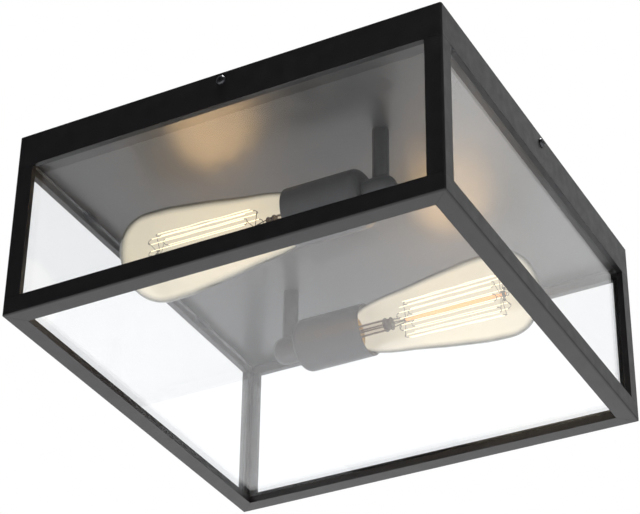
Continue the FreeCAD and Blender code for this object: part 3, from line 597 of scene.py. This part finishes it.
def wire_mesh(points: list[Vector], radius: float, smooth: bool = True) -> bmesh.types.BMesh:
    """A round wire along points.

    Args:
        points: The wire's centre line.
        radius: The wire's radius.
        smooth: Whether the line runs through the points as a curve.

    Returns:
        A closed tube.
    """
    curve = bpy.data.curves.new("wire", "CURVE")
    curve.dimensions = "3D"
    curve.bevel_depth = radius
    curve.bevel_resolution = WIRE_BEVEL_STEPS
    curve.use_fill_caps = True
    curve.resolution_u = WIRE_CURVE_STEPS
    spline = curve.splines.new("BEZIER" if smooth else "POLY")
    if smooth:
        spline.bezier_points.add(len(points) - 1)
        for knot, place in zip(spline.bezier_points, points):
            knot.co = place
            knot.handle_left_type = knot.handle_right_type = "AUTO"
    else:
        spline.points.add(len(points) - 1)
        for knot, place in zip(spline.points, points):
            knot.co = (*place, 1.0)
    data = mesh_of(curve)
    mesh = bmesh.new()
    mesh.from_mesh(data)
    bpy.data.meshes.remove(data)
    bmesh.ops.remove_doubles(mesh, verts=mesh.verts, dist=WELD)
    return mesh


def joined(parts: list[bmesh.types.BMesh]) -> bmesh.types.BMesh:
    """Put several shapes into one and free them.

    Args:
        parts: The shapes, each where it belongs.

    Returns:
        One shape that holds them all.
    """
    whole = bmesh.new()
    for part in parts:
        data = bpy.data.meshes.new("part")
        part.to_mesh(data)
        part.free()
        whole.from_mesh(data)
        bpy.data.meshes.remove(data)
    return whole


# ---- the lantern
@dataclass
class Cage:
    """The folded steel cage with its glass, clips and nuts."""

    edge_mm: float = 0.25
    glass_edge_mm: float = 0.35
    clip_edge_mm: float = 0.1
    nut_edge_mm: float = 0.2

    def build(self) -> None:
        """Dress every piece of the cage."""
        for node in frame["nodes"]:
            if node.startswith(("top_rail", "bottom_rail", "corner_post")):
                refine(node, POWDER_COAT, self.edge_mm)
            elif "_pane" in node:
                refine(node, FLOAT_GLASS, self.glass_edge_mm)
        refine("pane_clips", BLUED_STEEL, self.clip_edge_mm)
        refine("clinch_nuts", ZINC, self.nut_edge_mm)


@dataclass
class SideScrews:
    """The round-headed screws, each with a recess for a driver."""

    head_radius: float = 3.3 * MM
    head_height: float = 1.8 * MM
    shank_radius: float = 2.0 * MM
    recess_radius: float = 1.35 * MM
    recess_depth: float = 1.1 * MM
    recess_sides: int = 6
    recess_land: float = 0.35 * MM
    head_rim: float = 0.35 * MM
    head_edge: float = 0.15 * MM
    point_share: float = 0.75
    dome_steps: int = 6
    facets: int = 48

    def build(self) -> None:
        """Model and place the four screws."""
        for side in SIDES:
            node = "side_screw_" + side
            low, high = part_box(node)
            centre = (low + high) / 2
            across = 0 if side in ("left", "right") else 1
            length = (high - low)[across]
            outward = Vector((0.0, 0.0, 0.0))
            outward[across] = math.copysign(1.0, centre[across])
            mesh = self.shape(length - self.head_height)
            turn = Vector((1, 0, 0)).rotation_difference(outward).to_matrix().to_4x4()
            seat = centre + outward * (length / 2 - self.head_height)
            bmesh.ops.transform(mesh, matrix=Matrix.Translation(seat) @ turn, verts=mesh.verts)
            finish_piece(node + "_skin", mesh, SCREW_STEEL, body_of_node(node), [node])

    def shape(self, shank: float) -> bmesh.types.BMesh:
        """The screw along +X, its head's seat at the origin.

        Args:
            shank: The length of the threaded part.

        Returns:
            The head with its recess and the threaded shank.
        """
        profile = [(-shank, 0.0), (-shank, self.shank_radius * self.point_share)]
        profile += thread_line(-shank, shank, self.shank_radius)
        profile += [(0.0, self.shank_radius), (0.0, self.head_radius - self.head_edge),
                    (self.head_edge, self.head_radius)]
        land = self.recess_radius + self.recess_land
        for step in range(1, self.dome_steps + 1):
            slope = step / self.dome_steps * math.pi / 2
            profile.append((
                self.head_rim + (self.head_height - self.head_rim) * math.sin(slope),
                land + (self.head_radius - land) * math.cos(slope)))
        rim = turned_mesh(profile, self.facets)
        loop = [edge for edge in rim.edges if len(edge.link_faces) == 1]
        socket = bmesh.ops.create_circle(rim, cap_ends=False, segments=self.recess_sides,
                                         radius=self.recess_radius)["verts"]
        bmesh.ops.rotate(rim, verts=socket, matrix=Matrix.Rotation(math.pi / 2, 3, "Y"))
        bmesh.ops.translate(rim, verts=socket, vec=(self.head_height, 0, 0))
        inner = [edge for edge in rim.edges if all(vert in socket for vert in edge.verts)]
        bmesh.ops.bridge_loops(rim, edges=loop + inner)
        walls = bmesh.ops.extrude_edge_only(rim, edges=inner)["geom"]
        floor = [item for item in walls if isinstance(item, bmesh.types.BMVert)]
        bmesh.ops.translate(rim, verts=floor, vec=(-self.recess_depth, 0, 0))
        bmesh.ops.contextual_create(rim, geom=floor)
        bmesh.ops.recalc_face_normals(rim, faces=rim.faces)
        return rim


@dataclass
class CeilingUnit:
    """The pan, its strap and fixings, the wiring and the lamp holders."""

    wear: dict[str, Finish] = field(default_factory=lambda: {
        "ceiling_pan": PAN_ENAMEL, "cap_nuts": PAN_ENAMEL, "mounting_strap": ZINC,
        "stud_nuts": ZINC, "stem_washers": ZINC, "stem_nuts": ZINC,
        "earth_screw": GREEN_LACQUER, "terminal_block": BLOCK_NYLON})
    holder_wear: dict[str, Finish] = field(default_factory=lambda: {
        "lamp_leads": LEAD_SLEEVE, "stem": HOLDER_ENAMEL, "hub": HOLDER_ENAMEL,
        "socket_cover": HOLDER_ENAMEL, "socket_insulator": STEATITE, "screw_shell": BRASS,
        "centre_contact": BRASS})
    softened: tuple[str, ...] = ("hub", "socket_cover", "socket_insulator")
    edge_mm: float = 0.2
    holder_edge_mm: float = 0.15
    stud_point_share: float = 0.8
    stud_facets: int = 32

    def build(self) -> None:
        """Dress every piece that stays on the ceiling."""
        for node, finish in self.wear.items():
            refine(node, finish, self.edge_mm)
        self.studs()
        for lamp in LAMPS:
            for part, finish in self.holder_wear.items():
                edge_mm = self.holder_edge_mm if part in self.softened else 0.0
                refine(f"{lamp}_{part}", finish, edge_mm)

    def studs(self) -> None:
        """Model the two threaded studs of the strap as one piece."""
        low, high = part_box("pan_studs")
        radius = (high.y - low.y) / 2
        length = high.z - low.z
        point = radius * self.stud_point_share
        line = [(0.0, 0.0), (0.0, point), *thread_line(0.0, length, radius), (length, point),
                (length, 0.0)]
        pair = []
        for across in (low.x + radius, high.x - radius):
            stud = turned_mesh(line, self.stud_facets)
            stand = Matrix.Translation((across, 0.0, low.z)) @ Matrix.Rotation(-math.pi / 2, 4, "Y")
            bmesh.ops.transform(stud, matrix=stand, verts=stud.verts)
            pair.append(stud)
        finish_piece("pan_studs_skin", joined(pair), ZINC, body_of_node("pan_studs"), ["pan_studs"])


@dataclass
class Bulb:
    """A pear-shaped bulb with a caged thread, seen lit.

    Places along the axis are from the middle of the lantern, towards the tip. The stations are shares
    of the glass's length and largest radius, the bead's rings millimetres along it and shares of the
    mount's radius, and the collar's rings millimetres from the rod's end and off its axis.
    """

    lamp: str
    mouth: float = 9.0 * MM
    tip: float = 114.5 * MM
    largest: float = 29.4 * MM
    neck: float = 12.4 * MM
    mouth_neck: float = 16.5 * MM
    cap_front: float = 18.5 * MM
    neck_end: float = 30.5 * MM
    stations: tuple[tuple[float, float], ...] = (
        (0.29, 0.765), (0.54, 0.92), (0.76, 1.0), (0.86, 0.965), (0.93, 0.80), (0.975, 0.53))
    tip_flatness: float = 0.27
    glass_curve_steps: int = 8
    glass_facets: int = 96
    cap_pitch: float = 3.6 * MM
    cap_thread_depth: float = 0.9 * MM
    cap_wall: float = 0.3 * MM
    cap_crimp: float = 0.6 * MM
    cap_plain: float = 4.0 * MM
    cap_wave_steps: int = 8
    cap_facets: int = 64
    insulator_edge_mm: float = 0.1
    contact_edge_mm: float = 0.15
    flare_gap: float = 1.1 * MM
    flare_waist: float = 0.72
    flare_stations: tuple[float, float] = (3.0 * MM, 7.0 * MM)
    mount_radius: float = 4.5 * MM
    mount_front: float = 3.0 * MM
    mount_facets: int = 48
    bead_length: float = 6.0 * MM
    bead_rings: tuple[tuple[float, float], ...] = (
        (0.0, 0.9), (0.5, 1.08), (1.4, 1.08), (2.0, 0.78), (4.4, 0.78), (5.0, 1.02), (5.6, 1.0),
        (6.0, 0.7))
    bead_facets: int = 40
    rod_rear: float = 19.0 * MM
    rod_front: float = 94.0 * MM
    rod_radius: float = 1.6 * MM
    rod_thin: float = 0.62
    rod_fullness: float = 0.6
    rod_end: float = 0.04
    rod_steps: int = 12
    rod_facets: int = 24
    thread_rear: float = 20.0 * MM
    thread_front: float = 89.0 * MM
    rear_reach: float = 12.6 * MM
    front_reach: float = 14.0 * MM
    bundle_strands: int = 8
    bundle_start: float = 24.0
    bundle_end: float = 162.0
    roll: float = 36.6
    thread_radius: float = 0.23 * MM
    thread_sway: float = 0.25 * MM
    sway_waves: float = 5.0
    sway_shift: float = 2.1
    leads: int = 4
    lead_start: float = 8.0 * MM
    lead_hold: float = 0.5 * MM
    wire_start: float = 0.6 * MM
    wire_knee: float = 3.0 * MM
    wire_hold: float = 1.5 * MM
    spreads: tuple[float, ...] = (3.6 * MM, 3.4 * MM, 3.0 * MM, 2.5 * MM, 0.8 * MM)
    lead_radius: float = 0.55 * MM
    wire_radius: float = 0.32 * MM
    hook_radius: float = 0.224 * MM
    hook_knee: float = 0.55
    hook_steps: int = 6
    thread_steps: int = 12
    tee_reach: float = 4.4 * MM
    tee_bead: float = 1.1 * MM
    tee_back: float = 1.5 * MM
    collar_rings: tuple[tuple[float, float], ...] = ((-2.6, 2.2), (-1.4, 2.4), (-0.4, 1.6))
    collar_facets: int = 20

    def place(self) -> Matrix:
        """Find where the lamp's axis lies.

        Returns:
            A matrix that takes the middle of the lantern to the axis, and +X towards the tip.
        """
        low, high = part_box(self.lamp + "_bulb_glass")
        centre = (low + high) / 2
        turn = Matrix.Identity(4) if centre.x > 0 else Matrix.Rotation(math.pi, 4, "Z")
        return Matrix.Translation((0.0, centre.y, centre.z)) @ turn

    def fit(self, name: str, mesh: bmesh.types.BMesh, finish: Dress, nodes: Iterable[str] = (),
            sharp: float = 50.0) -> bpy.types.Object:
        """Move a shape drawn on the lamp's axis into place and finish it."""
        bmesh.ops.transform(mesh, matrix=self.place(), verts=mesh.verts)
        return finish_piece(f"{self.lamp}_{name}", mesh, finish, self.lamp + "_lamp",
                            [f"{self.lamp}_{node}" for node in nodes], sharp)

    def build(self) -> None:
        """Model the whole bulb."""
        self.fit("envelope", self.envelope(), AMBER_GLASS, ["bulb_glass"], sharp=180.0)
        self.fit("cap_thread", self.cap(), BRASS, ["bulb_cap"], sharp=60.0)
        refine(self.lamp + "_cap_insulator", BLACK_GLASS, self.insulator_edge_mm)
        refine(self.lamp + "_cap_contact", SOLDER, self.contact_edge_mm)
        self.fit("mount_tube", self.mount(), MOUNT_GLASS, ["bulb_mount"])
        self.fit("mount_bead", self.bead(), BEAD_GLASS)
        self.fit("glass_rod", self.rod(), ROD_GLASS)
        self.fit("support_wires", self.supports(), DARK_WIRE, ["bulb_spider"], sharp=80.0)
        self.fit("thread", self.thread(), FILAMENT, ["bulb_filament"], sharp=80.0)

    def glass_line(self) -> list[tuple[float, float]]:
        """Draw the outline of the glass as one smooth line.

        Returns:
            Places along the axis and radii, from the neck's end to the tip.
        """
        span = self.tip + self.mouth
        knots = [(-self.neck_end, self.neck), (-self.cap_front, self.neck),
                 (-self.mouth, self.mouth_neck)]
        knots += [(along * span - self.mouth, out * self.largest) for along, out in self.stations]
        knots.append((self.tip, 0.0))
        curve = bpy.data.curves.new("glass_line", "CURVE")
        curve.dimensions = "3D"
        curve.resolution_u = self.glass_curve_steps
        spline = curve.splines.new("BEZIER")
        spline.bezier_points.add(len(knots) - 1)
        for knot, (along, out) in zip(spline.bezier_points, knots):
            knot.co = (along, 0.0, out)
            knot.handle_left_type = knot.handle_right_type = "AUTO"
        last = spline.bezier_points[-1]
        last.handle_left_type = last.handle_right_type = "FREE"
        last.handle_left = (self.tip, 0.0, self.tip_flatness * self.largest)
        data = mesh_of(curve)
        line = [(vert.co.x, max(vert.co.z, 0.0)) for vert in data.vertices]
        bpy.data.meshes.remove(data)
        return line

    def envelope(self) -> bmesh.types.BMesh:
        """Turn the glass as one skin, because an inner one would hide what is behind it twice."""
        line = self.glass_line()
        return turned_mesh([(line[0][0], 0.0)] + line, self.glass_facets)

    def cap(self) -> bmesh.types.BMesh:
        """Turn the screw cap with its rolled thread.

        Returns:
            The cap's sheet, open at both ends.
        """
        low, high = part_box(self.lamp + "_bulb_cap")
        length = high.x - low.x
        rear = -self.cap_front - length
        crest = (high.y - low.y) / 2
        root = crest - self.cap_thread_depth
        steps = self.cap_wave_steps
        line = [(rear, root - self.cap_wall), (rear + self.cap_crimp, root)]
        waves = int((length - self.cap_plain) / self.cap_pitch)
        for index in range(waves * steps + 1):
            level = root + (crest - root) * (0.5 - 0.5 * math.cos(2 * math.pi * index / steps))
            line.append((rear + 2 * self.cap_crimp + index * self.cap_pitch / steps, level))
        line += [(-self.cap_front - self.cap_crimp, root), (-self.cap_front, crest - self.cap_wall)]
        inner = [(along, out - self.cap_wall) for along, out in reversed(line)]
        return turned_mesh(line + inner + [line[0]], self.cap_facets)

    def mount(self) -> bmesh.types.BMesh:
        """Turn the drawn tube that rises from the neck, with its flare.

        Returns:
            The tube as one closed skin.
        """
        flare = self.neck - self.flare_gap
        waist, end = (along - self.neck_end for along in self.flare_stations)
        line = [(-self.neck_end, 0.0), (-self.neck_end, flare), (waist, flare * self.flare_waist),
                (end, self.mount_radius), (self.mount_front, self.mount_radius),
                (self.mount_front, 0.0)]
        return turned_mesh(line, self.mount_facets)

    def bead(self) -> bmesh.types.BMesh:
        """Turn the two fused rings, with a waist between them, where the wires leave the tube.

        Returns:
            The bead.
        """
        start = self.mount_front
        line = [(start, 0.0)]
        line += [(start + along * MM, out * self.mount_radius) for along, out in self.bead_rings]
        line.append((start + self.bead_length, 0.0))
        return turned_mesh(line, self.bead_facets)

    def rod(self) -> bmesh.types.BMesh:
        """Turn the centre rod, thickest in its middle.

        Returns:
            The rod.
        """
        length = self.rod_front - self.rod_rear
        line = [(self.rod_rear, 0.0)]
        for step in range(self.rod_steps + 1):
            share = step / self.rod_steps
            inside = min(max(share, self.rod_end), 1 - self.rod_end)
            bulge = math.sin(math.pi * inside) ** self.rod_fullness
            swell = self.rod_thin + (1 - self.rod_thin) * bulge
            line.append((self.rod_rear + share * length, self.rod_radius * swell))
        line.append((self.rod_front, 0.0))
        return turned_mesh(line, self.rod_facets)

    def outward(self, share: float) -> Vector:
        """The direction square to the axis at a share of a full turn."""
        return Vector((0.0, math.cos(2 * math.pi * share), math.sin(2 * math.pi * share)))

    def supports(self) -> bmesh.types.BMesh:
        """Lay the leads in the tube, the wires on to the rod, the hooks and the rod's T-piece.

        Returns:
            All the dark wires.
        """
        parts = []
        bead_end = self.mount_front + self.bead_length
        places = (self.lead_start - self.neck_end, bead_end - self.lead_hold,
                  bead_end - self.wire_start, bead_end + self.wire_knee,
                  self.rod_rear + self.wire_hold)
        for step in range(self.leads):
            side = self.outward((step + 0.5) / self.leads)
            route = [Vector((along, 0, 0)) + side * out for along, out in zip(places, self.spreads)]
            parts.append(wire_mesh(route[:2], self.lead_radius, smooth=False))
            parts.append(wire_mesh(route[2:], self.wire_radius))
        ends = ((self.thread_rear, self.rear_reach, -1), (self.thread_front, self.front_reach, 1))
        for end in ends:
            for bundle in BUNDLES:
                parts += self.hooks(end, bundle)
        tee = self.rod_front - self.tee_back
        parts.append(wire_mesh([Vector((tee, 0, -self.tee_reach)), Vector((tee, 0, self.tee_reach))],
                               self.wire_radius, smooth=False))
        for level in (-self.tee_reach, self.tee_reach):
            bead = bmesh.new()
            bmesh.ops.create_uvsphere(bead, u_segments=16, v_segments=10, radius=self.tee_bead,
                                      matrix=Matrix.Translation((tee, 0, level)))
            parts.append(bead)
        rings = [(self.rod_front + along * MM, out * MM) for along, out in self.collar_rings]
        line = [(rings[0][0], 0.0), *rings, (rings[-1][0], 0.0)]
        parts.append(turned_mesh(line, self.collar_facets))
        return joined(parts)

    def strand_side(self, bundle: int, number: int) -> Vector:
        """The side of the axis on which a strand lies.

        Args:
            bundle: 0 for the bundle above the rod, 1 for the one below.
            number: The strand's number in its bundle.

        Returns:
            A direction square to the axis.
        """
        spread = self.bundle_end - self.bundle_start
        turn = self.bundle_start + spread * number / (self.bundle_strands - 1) + 180 * bundle
        return self.outward((turn + self.roll) / 360)

    def hooks(self, end: tuple[float, float, int], bundle: int) -> list[bmesh.types.BMesh]:
        """Bend the thread's cool hairpins at one end, with the wires that hold them.

        Args:
            end: The end's place, its distance from the axis and its way out, 1 towards the tip.
            bundle: 0 for the bundle above the rod, 1 for the one below.

        Returns:
            The wires.
        """
        station, reach, way = end
        centre = Vector((station, 0, 0))
        foot = Vector((station + way * MM, 0, 0))
        steps = self.hook_steps
        wires = []
        for number in range(0 if way > 0 else 1, self.bundle_strands - 1, 2):
            first = centre + self.strand_side(bundle, number) * reach
            last = centre + self.strand_side(bundle, number + 1) * reach
            pull = (last - first).length / 2
            bend = []
            for step in range(steps + 1):
                turn = math.pi * step / steps
                bend.append((first + last) / 2 + (first - last) / 2 * math.cos(turn)
                            + Vector((way * pull * math.sin(turn), 0, 0)))
            wires.append(wire_mesh(bend, self.thread_radius, smooth=False))
            crown = bend[steps // 2] - Vector((way * self.thread_radius, 0, 0))
            knee = foot.lerp(crown, self.hook_knee)
            wires.append(wire_mesh([foot, knee, crown], self.hook_radius))
        return wires

    def thread(self) -> bmesh.types.BMesh:
        """Lay the glowing strands between the hairpin bends.

        Returns:
            Both bundles.
        """
        wires = []
        for bundle in BUNDLES:
            for number in range(self.bundle_strands):
                side = self.strand_side(bundle, number)
                rear = Vector((self.thread_rear, 0, 0)) + side * self.rear_reach
                front = Vector((self.thread_front, 0, 0)) + side * self.front_reach
                points = []
                for step in range(self.thread_steps + 1):
                    share = step / self.thread_steps
                    wave = math.sin(math.pi * share * self.sway_waves + number * self.sway_shift)
                    sway = wave * self.thread_sway
                    points.append(rear.lerp(front, share) + side * sway * math.sin(math.pi * share))
                wires.append(wire_mesh(points, self.thread_radius, smooth=False))
        return joined(wires)


# ---- the studio
@dataclass
class Studio:
    """A pale floor, a bright room and a camera where the photograph was taken."""

    camera_place: tuple[float, float, float] = (0.5636, -1.0612, -0.8360)
    heading: float = 28.40
    climb: float = 33.19
    roll: float = 0.82
    lens_mm: float = 120.8
    sensor_mm: float = 36.0
    near_clip: float = 0.05
    floor_level: float = -2.4
    floor_reach: float = 12.0
    plain_level: float = 0.5
    overhead_level: float = 0.3
    window_level: float = 0.9
    window_way: tuple[float, float, float] = (0.398, 0.736, 0.547)
    window_edge: tuple[float, float] = (0.965, 0.99)
    horizon: tuple[float, float] = (-0.1, 0.2)
    dark_side: tuple[float, float] = (-0.55, 0.05)
    glow_watts: float = 0.36
    glow_size: float = 0.03
    glow_colour: str = "#ffcf90"
    floor_light_strength: float = 4.4
    floor_light_spread: float = 20.0
    card_place: tuple[float, float, float] = (-0.9, 0.1, -1.7)
    card_aim: tuple[float, float, float] = (0.0, 0.0, -0.05)
    card_size: float = 1.2
    card_watts: float = 4.0

    def build(self) -> None:
        """Set up the camera, the floor, the world and the lamps."""
        bpy.context.scene.view_settings.view_transform = "Standard"
        self.camera()
        self.floor()
        self.world()
        self.card()
        self.floor_light()
        for lamp in LAMPS:
            self.glow(lamp)

    def camera(self) -> None:
        """Put the camera below the lantern's front right corner, looking up."""
        data = bpy.data.cameras.new("camera")
        data.lens = self.lens_mm
        data.sensor_width = self.sensor_mm
        data.clip_start = self.near_clip
        camera = put("camera", data)
        aim = (Matrix.Rotation(math.radians(self.heading), 4, "Z")
               @ Matrix.Rotation(math.radians(90 + self.climb), 4, "X")
               @ Matrix.Rotation(math.radians(self.roll), 4, "Z"))
        camera.matrix_world = Matrix.Translation(self.camera_place) @ aim
        bpy.context.scene.camera = camera

    def floor(self) -> None:
        """A large pale floor well below the lantern."""
        mesh = bmesh.new()
        bmesh.ops.create_grid(mesh, x_segments=1, y_segments=1, size=self.floor_reach)
        bmesh.ops.translate(mesh, verts=mesh.verts, vec=(0, 0, self.floor_level))
        data = bpy.data.meshes.new("floor")
        mesh.to_mesh(data)
        mesh.free()
        data.materials.append(wardrobe.get(PALE_FLOOR))
        put("floor", data)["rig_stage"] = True

    def world(self) -> None:
        """White where it is seen, a plain level where it lights, dark behind the photographer."""
        world = bpy.data.worlds.new("studio")
        bpy.context.scene.world = world
        world.use_nodes = True
        tree = world.node_tree
        tree.nodes.clear()
        rays = add_node(tree, "ShaderNodeLightPath")
        way = add_node(tree, "ShaderNodeTexCoord")
        apart = add_node(tree, "ShaderNodeSeparateXYZ", inputs={0: way.outputs["Generated"]})
        overhead = add_node(tree, "ShaderNodeMapRange", inputs={
            "Value": apart.outputs["Z"], "From Min": self.horizon[0], "From Max": self.horizon[1],
            "To Min": 1.0, "To Max": self.overhead_level})
        behind = add_node(tree, "ShaderNodeMapRange", SMOOTH, {
            "Value": apart.outputs["Y"], "From Min": self.dark_side[0],
            "From Max": self.dark_side[1], "To Min": 0.0, "To Max": overhead.outputs[0]})
        toward = add_node(tree, "ShaderNodeVectorMath", {"operation": "DOT_PRODUCT"}, {
            0: way.outputs["Generated"], 1: self.window_way})
        window = add_node(tree, "ShaderNodeMapRange", SMOOTH, {
            "Value": toward.outputs["Value"], "From Min": self.window_edge[0],
            "From Max": self.window_edge[1], "To Min": behind.outputs[0],
            "To Max": self.window_level})
        seen = add_node(tree, "ShaderNodeMath", {"operation": "MAXIMUM"}, {
            0: rays.outputs["Is Camera Ray"], 1: rays.outputs["Is Transmission Ray"]})
        plain = add_node(tree, "ShaderNodeMix", NUMBERS, {
            0: rays.outputs["Is Glossy Ray"], 2: self.plain_level, 3: window.outputs[0]})
        strength = add_node(tree, "ShaderNodeMix", NUMBERS, {
            0: seen.outputs[0], 2: plain.outputs[0], 3: 1.0})
        sky = add_node(tree, "ShaderNodeBackground", inputs={
            "Color": (1, 1, 1, 1), "Strength": strength.outputs[0]})
        add_node(tree, "ShaderNodeOutputWorld", inputs={"Surface": sky.outputs[0]})

    def floor_light(self) -> None:
        """Light the floor from overhead, so that it throws white light up at the lantern."""
        data = bpy.data.lights.new("floor_light", "SUN")
        data.energy = self.floor_light_strength
        data.angle = math.radians(self.floor_light_spread)
        put("floor_light", data)

    def glow(self, lamp: str) -> None:
        """Put a small warm light where a bulb's thread glows.

        Args:
            lamp: The lamp that is lit.
        """
        low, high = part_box(lamp + "_bulb_filament")
        data = bpy.data.lights.new(lamp + "_glow", "POINT")
        data.energy = self.glow_watts
        data.shadow_soft_size = self.glow_size
        data.color = linear(self.glow_colour)[:3]
        light = put(lamp + "_glow", data)
        light.visible_camera = light.visible_transmission = False
        light.location = (low + high) / 2
        holders = [f"{other}_{part}" for other in LAMPS for part in ("socket", "hub", "stem")]
        catching = ("ceiling_pan", "bottom_rail_back", "bottom_rail_left", *holders)
        lit = bpy.data.collections.new(lamp + "_glow_falls_on")
        for piece in bpy.context.scene.objects:
            if piece.name.startswith(catching):
                lit.objects.link(piece)
        light.light_linking.receiver_collection = lit

    def card(self) -> None:
        """Put a soft square lamp below the lantern's left side."""
        data = bpy.data.lights.new("low_card", "AREA")
        data.size = self.card_size
        data.energy = self.card_watts
        card = put("low_card", data)
        card.location = self.card_place
        card.rotation_mode = "QUATERNION"
        aim = Vector(self.card_aim) - Vector(self.card_place)
        card.rotation_quaternion = aim.to_track_quat("-Z", "Y")


def main() -> None:
    """Build the lantern, then the studio round it."""
    Cage().build()
    SideScrews().build()
    CeilingUnit().build()
    Bulb("rear", roll=-Bulb.roll).build()
    Bulb("front").build()
    Studio().build()
    boxes = {"cad": CAD_BOUNDS, "visual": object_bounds()}
    {key: [list(corner) for corner in box] for key, box in boxes.items()}


if __name__ == "__main__":
    main()
